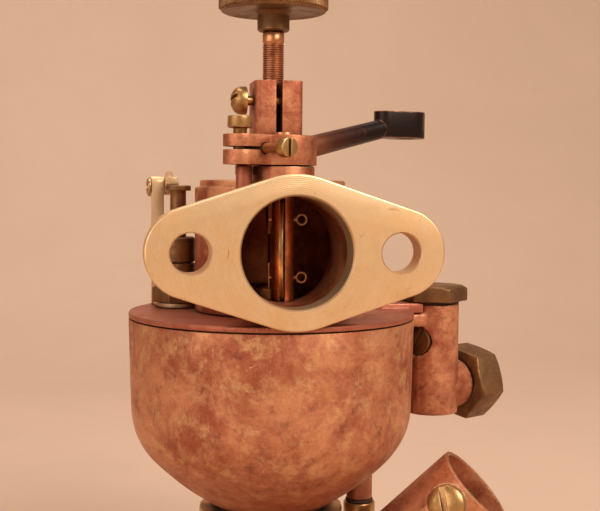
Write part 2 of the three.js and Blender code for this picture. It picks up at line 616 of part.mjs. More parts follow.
const taperTop = nozzleEntry + NEEDLE_TAPER;
const knobBase = SPINDLE_TOP + GAP + KNOB_HUB_TALL;
const knobTop = knobBase + KNOB_THICK;
const spindle = turned([[0, nozzleEntry], [NEEDLE_TIP_R, nozzleEntry], [NEEDLE_R, taperTop],
  [NEEDLE_R, OUTLET_Z + 6], [STEM_R, OUTLET_Z + 8], [STEM_R, CLAMP_BASE], [SPINDLE_R, CLAMP_BASE + 1.5],
  [SPINDLE_R, SPINDLE_TOP], [STEM_R, SPINDLE_TOP], [STEM_R, knobTop - 1.5], [0, knobTop - 1.5]], SMALL + 4);
add(carburetor, 'needle_spindle', spindle, SPINDLE_COPPER);
const knob = turned([[STEM_R + FIT, SPINDLE_TOP + GAP], [KNOB_HUB_R - 0.6, SPINDLE_TOP + GAP],
  [KNOB_HUB_R, SPINDLE_TOP + GAP + 0.6], [KNOB_HUB_R, knobBase], [KNOB_R - KNOB_EDGE, knobBase],
  [KNOB_R, knobBase + KNOB_EDGE], [KNOB_R, knobTop - KNOB_EDGE], [KNOB_R - KNOB_EDGE, knobTop],
  [STEM_R + FIT, knobTop]], FINE);
add(carburetor, 'knurled_knob', knob, AGED_BRASS);
add(group(carburetor, 0, 0, knobTop + GAP), 'knob_screw', screw(1.6, 1.2, 4.6, 2.8, 0.45, 1.1), BRASS);

// ---- bowl cover and fuel bowl ----
// A frame with +X out towards the fuel chamber, for what lies between it and the bowl.
const outward = (shape) => shape.rotateZ(degrees(COLUMN_BEARING));
const columnRod = (radius, z0, z1, sides) => rod(radius, z0, z1, sides).translate(column.x, column.y, 0);
const tickler = (shape) => shape.translate(...TICKLER_PLACE, 0);
const ticklerSpigotR = 4;
const slotInner = BOWL_R - 8;      // inner end of the float arm's slot
const rimR = BOWL_R - BOWL_WALL - 0.4;

function bowlCover() {
  const [half, hollowHalf] = [HOUSING_HALF_WIDE, SLOT_HALF_WIDE + GAP];
  const housing = outward(block(BOWL_R - 12, columnReach, -half, half, 0, HOUSING_TALL));
  const cavity = outward(block(slotInner, columnReach, -hollowHalf, hollowHalf, -1, HOUSING_TALL - 1));
  const keepClear = rod(CHAMBER_R + GAP, HOUSING_TALL - 10, HOUSING_TALL + 10, FINE);
  const lid = join(rod(BOWL_R, 0, COVER_THICK, FINE), cut(housing, keepClear));
  const columnHole = columnRod(COLUMN_R + GAP, -1, HOUSING_TALL + 1, ROUND);
  const ticklerHole = tickler(rod(ticklerSpigotR + FIT, -1, COVER_THICK + 1, SMALL));
  return cut(lid, cavity, columnHole, rod(RISER_R + FIT, -1, COVER_THICK + 1), ticklerHole);
}
add(carburetor, 'bowl_cover', bowlCover(), COVER_COPPER);

const inletWay = (shape) => shape.rotateY(Math.PI / 2)
  .rotateZ(degrees(INLET_BEARING)).translate(column.x, column.y, INLET_Z);
const plugWay = (shape) => shape.rotateY(Math.PI / 2).rotateZ(degrees(PLUG_BEARING))
  .translate(column.x, column.y, PLUG_Z);
const pivotWay = (radius, half) => outward(rod(radius, -half, half, SMALL).rotateX(Math.PI / 2)
  .translate(pivotReach, 0, ARM_Z));

function floatBowl() {
  const inside = bowlProfile(BOWL_WALL);
  inside[0] = [rimR, -RIM_GAP];
  inside.splice(1, 0, [rimR, -3]);
  inside[inside.length - 1][1] = footZ + BOWL_WALL;
  const cup = turned([...outside, ...inside.reverse()], FINE);
  const half = BRIDGE_HALF_WIDE;
  const bridge = outward(block(BOWL_R - BOWL_WALL / 2, columnReach, -half, half, -BRIDGE_DEEP, -RIM_GAP));
  const boss = inletWay(rod(INLET_BOSS_R, -2, INLET_BOSS_REACH, ROUND));
  const drain = rod(DRAIN_BOSS_R, drainBottom, bellyLastZ + 12, SMALL).translate(...DRAIN_PLACE, 0);
  const hollow = turned([[0, 0], ...bowlProfile(BOWL_WALL / 2), [0, footZ + 1]], FINE);
  const fuelColumn = columnRod(COLUMN_R, INLET_Z - INLET_BOSS_R, COLUMN_TOP);
  const casting = join(cup, fuelColumn, bridge, boss, cut(drain, hollow));

  const [slotHalf, pinR] = [SLOT_HALF_WIDE, PIVOT_R + FIT];
  const slot = outward(block(slotInner, columnReach, -slotHalf, slotHalf, -SLOT_DEEP, HOUSING_TALL - 1));
  const notch = outward(block(pivotReach - pinR, pivotReach + pinR, 1 - half, half - 1, ARM_Z, 1));
  const valveWay = columnRod(COLUMN_BORE_R, SEAT_TOP, COLUMN_TOP + 1);
  const seatWay = columnRod(SEAT_R + GAP, SEAT_TOP - SEAT_THICK - GAP, SEAT_TOP + 1);
  const fuelWay = columnRod(FUEL_BORE_R, INLET_Z, SEAT_TOP);
  const fittingWay = inletWay(rod(INLET_BORE_R, -4, INLET_BOSS_REACH + 1, SMALL));
  const plugHole = plugWay(rod(PLUG_R + FIT, COLUMN_BORE_R - 1.5, COLUMN_R + 6, SMALL));
  const drainHole = rod(DRAIN_SHANK_R + FIT, drainBottom - 1, bellyLastZ + 14, SMALL);
  return cut(casting, valveWay, slot, notch, pivotWay(pinR, half - 1), seatWay, fuelWay, fittingWay,
    plugHole, drainHole.translate(...DRAIN_PLACE, 0));
}
add(carburetor, 'float_bowl', floatBowl(), COPPER);
const gasketR = rimR - FIT;
const gasket = turned([[gasketR - 3, -2.4], [gasketR, -2.4], [gasketR, -GAP], [gasketR - 3, -GAP]], FINE);
const armWay = outward(block(slotInner, BOWL_R, -SLOT_HALF_WIDE, SLOT_HALF_WIDE, -3, 1));
add(carburetor, 'bowl_gasket', cut(gasket, armWay), FIBRE);

// ---- fuel chamber fittings ----
const spigotR = COLUMN_BORE_R - FIT;
const capTop = capBase + CAP_THICK;
const cap = join(hexBar(HEX_FLAT, capBase, capTop), rod(spigotR, COLUMN_TOP - 1.5, capBase + 1));
const capHollow = rod(spigotR - 2, COLUMN_TOP - 3, capBase + CAP_THICK / 2, SMALL);
const capGroup = group(carburetor, column.x, column.y, 0, 0, 0, CAP_TURN);
add(capGroup, 'fuel_chamber_cap', cut(cap, capHollow), AGED_BRASS);
add(capGroup, 'cap_gasket', turned([[COLUMN_BORE_R, COLUMN_TOP + GAP], [COLUMN_R, COLUMN_TOP + GAP],
  [COLUMN_R, capBase - GAP], [COLUMN_BORE_R, capBase - GAP]]), FIBRE);

const seatBase = SEAT_TOP - SEAT_THICK;
const valveSeat = turned([[SEAT_BORE_R, seatBase], [SEAT_R, seatBase], [SEAT_R, SEAT_TOP],
  [SEAT_BORE_R + 1.5, SEAT_TOP], [SEAT_BORE_R, SEAT_TOP - 1.5]], SMALL);
add(group(carburetor, column.x, column.y, 0), 'valve_seat', valveSeat, BRASS);

const plugDisc = cut(rod(PLUG_R, PLUG_FACE - PLUG_THICK, PLUG_FACE, SMALL + 4),
  block(-0.6, 0.6, -2 * PLUG_R, 2 * PLUG_R, PLUG_FACE - 0.7, PLUG_FACE + 1).rotateZ(degrees(60)));
add(carburetor, 'channel_plug', plugWay(plugDisc), AGED_BRASS);

const inlet = group(carburetor, column.x, column.y, INLET_Z, 0, 0, INLET_BEARING);
const nutBase = INLET_BOSS_REACH + 2 * GAP;
const nutLip = 1.8;
const fittingEnd = nutBase + NUT_LONG - nutLip - GAP;
const fitting = turned([[FUEL_BORE_R, 5], [INLET_BORE_R - FIT, 5], [INLET_BORE_R - FIT, nutBase - GAP],
  [INLET_THREAD_R, nutBase - GAP], [INLET_THREAD_R, fittingEnd], [FUEL_BORE_R + 1.5, fittingEnd],
  [FUEL_BORE_R, fittingEnd - 1.5]], SMALL + 4);
add(inlet, 'inlet_fitting', fitting.rotateY(Math.PI / 2), BRASS);
const nut = cut(hexBar(NUT_FLAT, nutBase, nutBase + NUT_LONG, true, true),
  rod(INLET_THREAD_R + FIT, nutBase - 1, nutBase + NUT_LONG - nutLip, SMALL + 4),
  rod(FUEL_BORE_R + 1.2, nutBase, nutBase + NUT_LONG + 1, SMALL));
add(inlet, 'union_nut', nut.rotateZ(degrees(UNION_TURN)).rotateY(Math.PI / 2), AGED_BRASS);

// ---- float, its arm, pivot pin and needle ----
const forkReach = columnReach + NEEDLE_COLLAR_R;

function floatArm() {
  const [half, holeR] = [FORK_HALF_WIDE, FLOAT_NEEDLE_R + FIT];
  const [low, high] = [ARM_Z - ARM_PLATE / 2, ARM_Z + ARM_PLATE / 2];
  const crosswise = (shape) => shape.rotateX(Math.PI / 2).translate(pivotReach, 0, ARM_Z);
  const strip = block(CORK_IN_R + 2, forkReach, -half, half, low, high);
  const yoke = rod(CORK_IN_R + 6, low, high, FINE);
  const hub = crosswise(rod(PIVOT_HUB_R, -half, half, SMALL));
  const pinHole = crosswise(rod(PIVOT_R + FIT, -half - 1, half + 1, SMALL));
  const fork = block(columnReach, forkReach + 1, -holeR, holeR, low - 1, high + 1);
  const needleHole = rod(holeR, low - 1, high + 1, SMALL).translate(columnReach, 0, 0);
  return cut(join(strip, yoke, hub), rod(CORK_IN_R, low - 1, high + 1, FINE), pinHole, fork, needleHole);
}
const floatGroup = group(carburetor, 0, 0, 0, 0, 0, COLUMN_BEARING);
add(floatGroup, 'float_arm', floatArm(), BRASS);
const corkRing = turned([[CORK_IN_R, corkBottom], [CORK_OUT_R - 2, corkBottom], [CORK_OUT_R, corkBottom + 2],
  [CORK_OUT_R, corkTop - 2], [CORK_OUT_R - 2, corkTop], [CORK_IN_R, corkTop]], FINE);
add(floatGroup, 'float', corkRing, CORK);
const pivotPin = rod(PIVOT_R, 1.4 - BRIDGE_HALF_WIDE, BRIDGE_HALF_WIDE - 1.4, SMALL);
add(floatGroup, 'float_pivot_pin', pivotPin.rotateX(Math.PI / 2).translate(pivotReach, 0, ARM_Z), STEEL);

const lowCollar = ARM_Z - COLLAR_PLAY;
const highCollar = ARM_Z + COLLAR_PLAY;
const needleTipZ = SEAT_TOP - 1.9;
const collarFoot = lowCollar - COLLAR_THICK;
const collarCrown = highCollar + COLLAR_THICK;
const floatNeedle = turned([[0, needleTipZ], [SEAT_BORE_R - 1.2, needleTipZ],
  [FLOAT_NEEDLE_R, SEAT_TOP + 1.6], [FLOAT_NEEDLE_R, collarFoot], [NEEDLE_COLLAR_R, collarFoot],
  [NEEDLE_COLLAR_R, lowCollar], [FLOAT_NEEDLE_R, lowCollar], [FLOAT_NEEDLE_R, highCollar],
  [NEEDLE_COLLAR_R, highCollar],
  [NEEDLE_COLLAR_R, collarCrown], [0, collarCrown]], SMALL);
add(group(carburetor, column.x, column.y, 0), 'float_needle', floatNeedle, STEEL);

// ---- venturi tube and spray nozzle ----
const riserBase = ringBase + 0.8;
const bore = RISER_R - RISER_WALL;
// The disc hangs lowest over the riser at the riser's front.
const discOver = (THROTTLE_BACK - RISER_R) / Math.cos(degrees(DISC_TURN));
const riserTop = OUTLET_Z - Math.sqrt(discR ** 2 - discOver ** 2) - RISER_CLEAR;
const feedZ = RING_TOP + FEED_RISE;
const nozzleBase = feedZ - 6;
const riserCollar = -GAP - RISER_COLLAR_THICK;
const riser = turned([[RISER_R, riserBase], [RISER_R, riserCollar], [RISER_COLLAR_R, riserCollar],
  [RISER_COLLAR_R, -GAP], [RISER_R, -GAP], [RISER_R, riserTop], [bore + 0.6, riserTop],
  [THROAT_R, THROAT_TOP],
  [THROAT_R, THROAT_BASE], [bore, THROAT_ENTRY], [bore, riserBase]], ROUND);
const feedRod = (radius, from, to) => rodBetween([-from, 0, feedZ], [-to, 0, feedZ], radius, radius, SMALL);
add(carburetor, 'venturi_tube', cut(riser, feedRod(FEED_R + FIT, bore - 2, RISER_R + 2)), BRASS);
const nozzleTube = turned([[0, nozzleBase], [NOZZLE_R, nozzleBase], [NOZZLE_R, NOZZLE_TOP - 3],
  [NOZZLE_BORE_R + 0.5, NOZZLE_TOP], [0, NOZZLE_TOP]], SMALL);
const nozzleBore = rod(NOZZLE_BORE_R, nozzleBase + 2, NOZZLE_TOP + 1, SMALL);
const nozzleWithFeed = join(nozzleTube, feedRod(FEED_R, 0, RISER_R));
const nozzle = cut(nozzleWithFeed, nozzleBore, feedRod(FEED_BORE_R, 0, RISER_R + 1));
add(carburetor, 'spray_nozzle', nozzle, BRASS);

// ---- bowl foot: seal, clamp ring, drain ----
const sealIn = HORN_R + 1.7;
const sealOut = sealIn + 2.4;
const sealTop = (r) => footAt(r) - GAP;
const sealBase = sealTop(sealIn) - 1.2;
add(carburetor, 'bowl_seal', turned([[sealIn, sealBase], [sealOut, sealBase], [sealOut, sealTop(sealOut)],
  [sealIn, sealTop(sealIn)]], ROUND), FIBRE);
const ringSeat = Math.min(RING_TOP, footAt(bellyLastR) - GAP);
const ring = turned([[HORN_R + FIT, ringBase], [RING_R - 0.8, ringBase], [RING_R, ringBase + 0.8],
  [RING_R, RING_TOP], [bellyLastR, ringSeat], [HORN_R + FIT, footAt(HORN_R) - GAP - 0.1]], ROUND);
const [grooveIn, grooveOut, grooveBase] = [sealIn - GAP, sealOut + GAP, sealBase - GAP];
const sealGroove = turned([[grooveIn, grooveBase], [grooveOut, grooveBase], [grooveOut, RING_TOP + 1],
  [grooveIn, RING_TOP + 1]], ROUND);
add(carburetor, 'clamp_ring', cut(ring, sealGroove), BRASS);

const drain = group(carburetor, ...DRAIN_PLACE, 0);
const washerBase = drainBottom - GAP - DRAIN_WASHER_THICK;
const washerTop = drainBottom - GAP;
const washer = turned([[DRAIN_SHANK_R + FIT, washerBase], [DRAIN_WASHER_R, washerBase],
  [DRAIN_WASHER_R, washerTop], [DRAIN_SHANK_R + FIT, washerTop]], SMALL + 4);
add(drain, 'drain_washer', washer, FIBRE);
add(group(drain, 0, 0, washerBase - GAP, 180), 'drain_plug',
  screw(DRAIN_SHANK_R, 5.5, DRAIN_HEAD_R, DRAIN_HEAD_THICK, 0, 1.6), BRASS);

// ---- air horn and choke, in the plane of the bend ----
class HornPath extends THREE.Curve {
  constructor(fromZ, before, after) {
    super();
    Object.assign(this, { fromZ, before, after, turn: degrees(HORN_TURN) });
    this.bend = this.turn * HORN_BEND_R;
    this.long = before + this.bend + HORN_STRAIGHT + after;
  }
  getPoint(t, target = new THREE.Vector3()) {
    const s = t * this.long - this.before;
    const angle = THREE.MathUtils.clamp(s / HORN_BEND_R, 0, this.turn);
    const run = Math.min(s, 0) + Math.max(s - this.bend, 0);
    const x = HORN_BEND_R * (1 - Math.cos(angle)) + run * Math.sin(angle);
    return target.set(x, 0, this.fromZ - HORN_BEND_R * Math.sin(angle) - run * Math.cos(angle));
  }
}
const horn = group(carburetor, 0, 0, 0, 0, 0, HORN_BEARING);
const hornTurn = degrees(HORN_TURN);
const hornMouth = new HornPath(ringBase, 0, 0).getPoint(1);
const hornAxis = new THREE.Vector3(Math.sin(hornTurn), 0, -Math.cos(hornTurn));
const chokeAt = hornMouth.clone().addScaledVector(hornAxis, -CHOKE_INSET);
const hornBoreR = HORN_R - HORN_WALL;
// The choke's own frame: +Z out along its shaft towards the head, +X along the horn's axis.
const chokeUp = new THREE.Vector3(0, -1, 0).applyAxisAngle(hornAxis, degrees(-CHOKE_ROLL));
const chokeSide = new THREE.Vector3().crossVectors(chokeUp, hornAxis);
const chokeTurn = new THREE.Matrix4().makeBasis(hornAxis, chokeSide, chokeUp).setPosition(chokeAt);
const chokeWay = (shape) => shape.applyMatrix4(chokeTurn);
const chokeSeat = HORN_R + 0.5;

function airHorn() {
  const outer = swept(new HornPath(ringBase, neckTop - ringBase, 0), HORN_R, 24, ROUND);
  const inner = swept(new HornPath(ringBase, riserBase - ringBase + 0.5, 1), hornBoreR, 24, ROUND);
  const bosses = chokeWay(rod(CHOKE_BOSS_R, -chokeSeat, chokeSeat, SMALL + 4));
  return cut(join(outer, bosses), inner, rod(RISER_R + FIT, riserBase - 1, neckTop + 1),
    chokeWay(rod(CHOKE_SHAFT_R + FIT, -chokeSeat - 1, chokeSeat + 1, SMALL)));
}
add(horn, 'air_horn', airHorn(), COPPER);

const choke = group(horn, ...chokeAt.toArray());
choke.quaternion.setFromRotationMatrix(chokeTurn);
const flatHalf = hornBoreR - DISC_GAP + GAP;
const chokeBack = -chokeSeat - GAP - CHOKE_LEVER_THICK - GAP;
const chokeScrews = [-1, 1].map((side) => side * CHOKE_SCREW_PITCH / 2);

function chokeScrewHoles(from, to) {
  const hole = (z) => rod(CHOKE_SCREW_R + FIT, from, to, SMALL).rotateY(Math.PI / 2).translate(0, 0, z);
  return chokeScrews.map(hole);
}

function chokeShaft() {
  const neck = chokeSeat + GAP;
  const head = screw(CHOKE_SHAFT_R, 1, CHOKE_HEAD_R, CHOKE_HEAD_THICK, 0.34, 2.2);
  head.rotateZ(degrees(CHOKE_SLOT_TURN));
  const shaft = join(rod(CHOKE_SHAFT_R, chokeBack - 1.5, neck + 0.5, SMALL), head.translate(0, 0, neck));
  const past = CHOKE_SHAFT_R + 1;
  const flat = block(0, past, -past, past, -flatHalf, flatHalf);
  return cut(shaft, flat, ...chokeScrewHoles(-CHOKE_SHAFT_R - 1, 1));
}
const chokeDiscX = GAP;
const chokeDiscTop = chokeDiscX + CHOKE_DISC_THICK;
const chokeDisc = rod(hornBoreR - DISC_GAP, chokeDiscX, chokeDiscTop, FINE).rotateY(Math.PI / 2);
add(choke, 'choke_shaft', chokeShaft(), BRASS);
add(choke, 'choke_disc', cut(chokeDisc, ...chokeScrewHoles(-1, chokeDiscTop + 1)), BRASS);
chokeScrews.forEach((z, i) => {
  const place = group(choke, chokeDiscTop + GAP, 0, z, 0, 90, 0);
  add(place, `choke_screw_${i + 1}`, screw(CHOKE_SCREW_R, 3.4, 2, 1.1, 0, 0.5), BRASS);
});
const chokeLeverTop = -chokeSeat - GAP;
const chokeArm = plate(belt([[0, 0, CHOKE_LEVER_R], [-CHOKE_LEVER_LONG, 0, CHOKE_LEVER_R * 0.6]]),
  chokeLeverTop - CHOKE_LEVER_THICK, chokeLeverTop);
const leverHole = rod(CHOKE_SHAFT_R + FIT, chokeBack, chokeLeverTop + 1, SMALL);
const rodHole = rod(CHOKE_ROD_HOLE_R, chokeBack, chokeLeverTop + 1, SMALL).translate(-CHOKE_LEVER_LONG, 0, 0);
add(choke, 'choke_lever', cut(chokeArm, leverHole, rodHole), BRASS);
const nutBack = chokeBack - CHOKE_NUT_THICK;
const chokeNut = cut(hexBar(CHOKE_NUT_FLAT, nutBack, chokeBack, false, true),
  rod(CHOKE_SHAFT_R + FIT, nutBack - 1, chokeBack + 1, SMALL));
add(choke, 'choke_lever_nut', chokeNut, BRASS);

// ---- tickler: wets the float to start a cold engine ----
const [ticklerX, ticklerY] = TICKLER_PLACE;
const tick = group(carburetor, ticklerX, ticklerY, 0);
const collarTop = SLEEVE_TOP - SLEEVE_ROOF - GAP;
const collarBase = collarTop - ROD_COLLAR_THICK;
const springBase = hexTop + GAP;
const springTop = collarBase - GAP;
const rodTip = corkTop + ARM_PLATE + ROD_TIP_RISE;

const ticklerBody = cut(join(ticklerHex(0, hexBase, hexTop), rod(ticklerSpigotR, GAP, hexBase + 1, SMALL),
  rod(SLEEVE_R, hexTop - 1, SLEEVE_JOINT - GAP / 2)),
  rod(ROD_R + FIT, -1, hexTop + 1, SMALL), rod(SLEEVE_BORE_R, hexTop, SLEEVE_TOP, SMALL));
add(tick, 'tickler_body', ticklerBody, AGED_BRASS);
const sleeveBase = SLEEVE_JOINT + GAP / 2;
const sleeveRoof = SLEEVE_TOP - SLEEVE_ROOF;
const sleeve = turned([[SLEEVE_BORE_R, sleeveBase], [SLEEVE_R - 0.3, sleeveBase],
  [SLEEVE_R, SLEEVE_JOINT + 0.6], [SLEEVE_R, SLEEVE_TOP - 0.6], [SLEEVE_R - 0.6, SLEEVE_TOP],
  [PLUNGER_R + FIT, SLEEVE_TOP], [PLUNGER_R + FIT, sleeveRoof], [SLEEVE_BORE_R, sleeveRoof]]);
add(tick, 'tickler_sleeve', sleeve, BRASS);
const discBase = PLUNGER_TOP - PLUNGER_DISC_THICK;
const plunger = turned([[0, rodTip], [ROD_R, rodTip], [ROD_R, collarBase], [ROD_COLLAR_R, collarBase],
  [ROD_COLLAR_R, collarTop], [PLUNGER_R, collarTop], [PLUNGER_R, discBase], [PLUNGER_DISC_R, discBase],
  [PLUNGER_DISC_R, PLUNGER_TOP], [0, PLUNGER_TOP]], SMALL + 4);
add(tick, 'tickler_plunger', plunger, SPINDLE_COPPER);

class Helix extends THREE.Curve {
  getPoint(t, target = new THREE.Vector3()) {
    const angle = 2 * Math.PI * SPRING_TURNS * t;
    const z = springBase + SPRING_WIRE_R + t * (springTop - springBase - 2 * SPRING_WIRE_R);
    return target.set(SPRING_R * Math.cos(angle), SPRING_R * Math.sin(angle), z);
  }
}
add(tick, 'tickler_spring', swept(new Helix(), SPRING_WIRE_R, SPRING_TURNS * 12, 6), STEEL);

const postX = -POST_OUT;
// A piece lying along X at the tickler's pivot, or at another height of the post.
const crosswise = (shape, z = PIVOT_Z) => shape.rotateY(Math.PI / 2).translate(0, PIVOT_BACK, z);

function ticklerBracket() {
  const [postMiddle, postEnd, half] = [postX + POST_WIDE / 2, postX + POST_WIDE, POST_DEEP / 2];
  const outline = belt([[0, 0, TICKLER_HEX / 2 - 1], [postMiddle, PIVOT_BACK, POST_WIDE / 2]]);
  const foot = plate(outline, bodyBase, bodyBase + FOOT_THICK);
  const roundZ = TICKLER_POST_TOP - half;
  const upright = block(postX, postEnd, PIVOT_BACK - half, PIVOT_BACK + half, bodyBase, roundZ);
  const top = crosswise(rod(half, postX, postEnd, SMALL), roundZ);
  const screwHole = crosswise(rod(TICKLER_SCREW_R + FIT, postX - 1, postEnd + 1, SMALL));
  return cut(join(foot, upright, top), rod(ticklerSpigotR + FIT, 0, hexBase, SMALL), screwHole);
}
add(tick, 'tickler_bracket', ticklerBracket(), MACHINED);
const camX = postX + POST_WIDE + GAP;
const pivotLong = GAP + POST_WIDE + GAP + CAM_WIDE + 0.6;
add(group(tick, postX - GAP, PIVOT_BACK, PIVOT_Z, 0, -90, 0), 'tickler_pivot_screw',
  screw(TICKLER_SCREW_R, pivotLong, TICKLER_HEAD_R, TICKLER_HEAD_THICK, 0.3, 0.9), BRASS);

function ticklerLever() {
  const base = PLUNGER_TOP + GAP;
  const tall = CAM_TOP - base;
  const camEnd = camX + CAM_WIDE;
  const camMiddle = camX + CAM_WIDE / 2;
  const hub = crosswise(rod(CAM_HUB_R, camX, camEnd, SMALL));
  const finger = block(camX, camEnd, -CAM_NOSE, PIVOT_BACK, base, CAM_TOP);
  const tailRoot = [camMiddle, PIVOT_BACK, PIVOT_Z + 1.4];
  const tail = rodBetween(tailRoot, [camMiddle, PIVOT_BACK + CAM_TAIL, PIVOT_Z + 5], 2, 1.5, SMALL);
  // The finger's far top edge is a quarter round.
  const round = rod(tall, -5, 20, SMALL + 4).rotateX(Math.PI / 2).translate(camEnd - tall, 0, base);
  const corner = block(camEnd - tall, camEnd + 1, -20, PIVOT_BACK - CAM_HUB_R, base, CAM_TOP + 1);
  const screwHole = crosswise(rod(TICKLER_SCREW_R + FIT, camX - 1, camEnd + 1, SMALL));
  return cut(join(cut(finger, cut(corner, round)), hub, tail), screwHole);
}
add(tick, 'tickler_lever', ticklerLever(), BRASS);

export default carburetor;
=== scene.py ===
"""A copper-plated brass updraft float carburetor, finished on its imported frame."""

import json
import math

import bmesh
import bpy
from bpy.props import FloatProperty, FloatVectorProperty, IntProperty, PointerProperty
from bpy.types import Operator, Panel, PropertyGroup
from mathutils import Matrix, Vector, noise


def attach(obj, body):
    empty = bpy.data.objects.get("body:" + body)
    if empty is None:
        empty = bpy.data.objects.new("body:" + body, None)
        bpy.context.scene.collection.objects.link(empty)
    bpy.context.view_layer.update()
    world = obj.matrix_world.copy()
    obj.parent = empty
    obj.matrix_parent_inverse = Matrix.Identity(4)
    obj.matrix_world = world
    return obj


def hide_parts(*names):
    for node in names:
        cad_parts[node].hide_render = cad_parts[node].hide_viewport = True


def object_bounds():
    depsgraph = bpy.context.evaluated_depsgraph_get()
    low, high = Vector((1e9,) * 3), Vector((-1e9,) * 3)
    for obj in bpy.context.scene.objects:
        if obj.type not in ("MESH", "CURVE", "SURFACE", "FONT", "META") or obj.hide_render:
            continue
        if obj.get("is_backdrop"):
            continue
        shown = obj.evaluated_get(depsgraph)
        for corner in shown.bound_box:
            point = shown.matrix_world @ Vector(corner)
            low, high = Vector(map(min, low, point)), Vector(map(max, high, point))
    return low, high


bl_info = {
    "name": "Updraft Carburetor",
    "version": (1, 0, 0),
    "blender": (4, 5, 0),
    "location": "View3D > Sidebar > Carburetor",
    "description": "Builds a copper-plated updraft float carburetor on its packed frame",
    "category": "Object",
}

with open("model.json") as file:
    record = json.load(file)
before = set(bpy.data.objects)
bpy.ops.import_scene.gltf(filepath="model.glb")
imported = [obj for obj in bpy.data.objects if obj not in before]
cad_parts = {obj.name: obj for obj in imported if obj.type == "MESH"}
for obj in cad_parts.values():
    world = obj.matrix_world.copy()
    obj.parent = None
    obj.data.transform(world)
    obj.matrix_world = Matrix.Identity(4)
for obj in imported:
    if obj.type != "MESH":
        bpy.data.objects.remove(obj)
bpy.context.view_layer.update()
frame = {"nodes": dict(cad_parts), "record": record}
MM = 0.001

# Axes of the carburetor, in metres in the frame.
NEEDLE_Y = 0.0546                 # the needle's axis, behind the flange face
COVER_Z = -0.0259                 # underside of the bowl cover
SHAFT_Y = 0.0306                  # the throttle shaft's axis
LEVER_TURN = math.radians(29.7)   # heading of the lever's arm


def shade(red, green, blue):
    """A colour given as it is seen, from 0 to 255, in linear light."""
    def linear(value):
        value /= 255
        return value / 12.92 if value <= 0.04045 else ((value + 0.055) / 1.055) ** 2.4
    return (linear(red), linear(green), linear(blue), 1.0)


def colour(name, description, *seen):
    return FloatVectorProperty(
        name=name, description=description, subtype="COLOR", size=4,
        min=0.0, max=1.0, default=shade(*seen))


def length(name, description, default):
    return FloatProperty(
        name=name, description=description, subtype="DISTANCE", unit="LENGTH",
        min=0.0, precision=5, default=default)


class CarburetorSizes(PropertyGroup):
    """Fine sizes that the frame's solids leave out."""

    edge: length("Edge", "Radius of a handled machined edge", 0.45 * MM)
    cast_edge: length("Cast Edge", "Radius of a cast edge", 0.9 * MM)
    flange_edge: length("Flange Edge", "Radius round the flange's outline", 0.75 * MM)
    thread_pitch: length("Thread Pitch", "Pitch of the needle spindle's thread", 0.79 * MM)
    thread_depth: length("Thread Depth", "Depth of the needle spindle's thread", 0.42 * MM)
    knurl_depth: length("Knurl Depth", "Depth of the knob's knurling", 0.38 * MM)
    knurls: IntProperty(name="Knurls", description="Ridges round the knob", default=104, min=12)
    dent: length("Dents", "Depth of the bowl's soft dents", 0.3 * MM)
    voxel: length("Casting Grain", "Cell of the rough casting's mesh", 0.5 * MM)


class CarburetorColours(PropertyGroup):
    """Colours of the platings, metals and fibres."""

    copper: colour("Copper", "Plating where it is rubbed clean", 208, 142, 100)
    # This red copper is stained plating, and also the painted shade on the bowl's lower belly.
    copper_red: colour("Red Copper", "Plating where it is stained", 150, 74, 48)
    # This dark copper is the tarnish's dark, and also the tint of painted shade in corners and crevices.
    copper_dark: colour("Dark Copper", "Plating in tarnish and corners", 96, 50, 32)
    cover: colour("Cover Copper", "Pinkish plating of the cover and post", 176, 106, 82)
    gold: colour("Machined Brass", "Bright turned faces", 226, 192, 148)
    gold_dull: colour("Dulled Brass", "Turned faces where they are handled", 212, 166, 112)
    brass: colour("Brass", "Plain brass screws", 190, 144, 88)
    brass_dull: colour("Old Brass", "Brass with years of handling", 138, 98, 60)
    olive: colour("Olive Brass", "Brass darkened by fuel", 98, 68, 42)
    # This black is baked oil on the lever, and also the tint of painted shade in crevices.
    oil_and_shade: colour("Oil Black", "Baked oil on the lever", 26, 20, 18)
    steel: colour("Steel", "Drawn steel", 168, 164, 158)
    cork: colour("Cork", "Varnished cork", 176, 134, 86)
    fibre: colour("Fibre", "Pressed gasket fibre", 48, 34, 27)
    floor: colour("Floor", "Plain pale floor", 200, 170, 146)


# ---- meshes ----
def lathe(profile, steps=96, closed=True):
    """A profile of (radius, height) in millimetres, turned about Z."""
    bm = bmesh.new()
    verts = [bm.verts.new((r * MM, 0, z * MM)) for r, z in profile]
    ends = verts[1:] + (verts[:1] if closed else [])
    edges = [bm.edges.new(pair) for pair in zip(verts, ends)]
    bmesh.ops.spin(bm, geom=verts + edges, cent=(0, 0, 0), axis=(0, 0, 1),
                   angle=math.tau, steps=steps, use_merge=True)
    bmesh.ops.remove_doubles(bm, verts=bm.verts, dist=1e-7)
    bmesh.ops.recalc_face_normals(bm, faces=bm.faces)
    return bm


def solid_of(node):
    """The node's own solid, its doubles merged and its flats made whole."""
    bm = bmesh.new()
    bm.from_mesh(frame["nodes"][node].data)
    bmesh.ops.remove_doubles(bm, verts=bm.verts, dist=2e-6)
    bmesh.ops.dissolve_limit(bm, angle_limit=math.radians(0.8), verts=bm.verts, edges=bm.edges)
    return bm


def round_edges(bm, radius, segments=3, sharper=30.0):
    """Rounds the edges that turn by more than an angle in degrees."""
    limit = math.radians(sharper)
    edges = [e for e in bm.edges if len(e.link_faces) == 2 and e.calc_face_angle(0) > limit]
    bmesh.ops.bevel(bm, geom=edges, offset=radius, offset_type="OFFSET", segments=segments,
                    profile=0.5, affect="EDGES", clamp_overlap=True, material=-1)
    return bm


def place(bm, *, at=(0, 0, 0), turn=None):
    matrix = Matrix.Translation(Vector(at)) @ (turn.to_4x4() if turn else Matrix())
    bmesh.ops.transform(bm, matrix=matrix, verts=bm.verts)
    return bm


def along(direction):
    """The turn that lays a turned piece's axis along a direction."""
    return Vector((0, 0, 1)).rotation_difference(Vector(direction).normalized()).to_matrix()


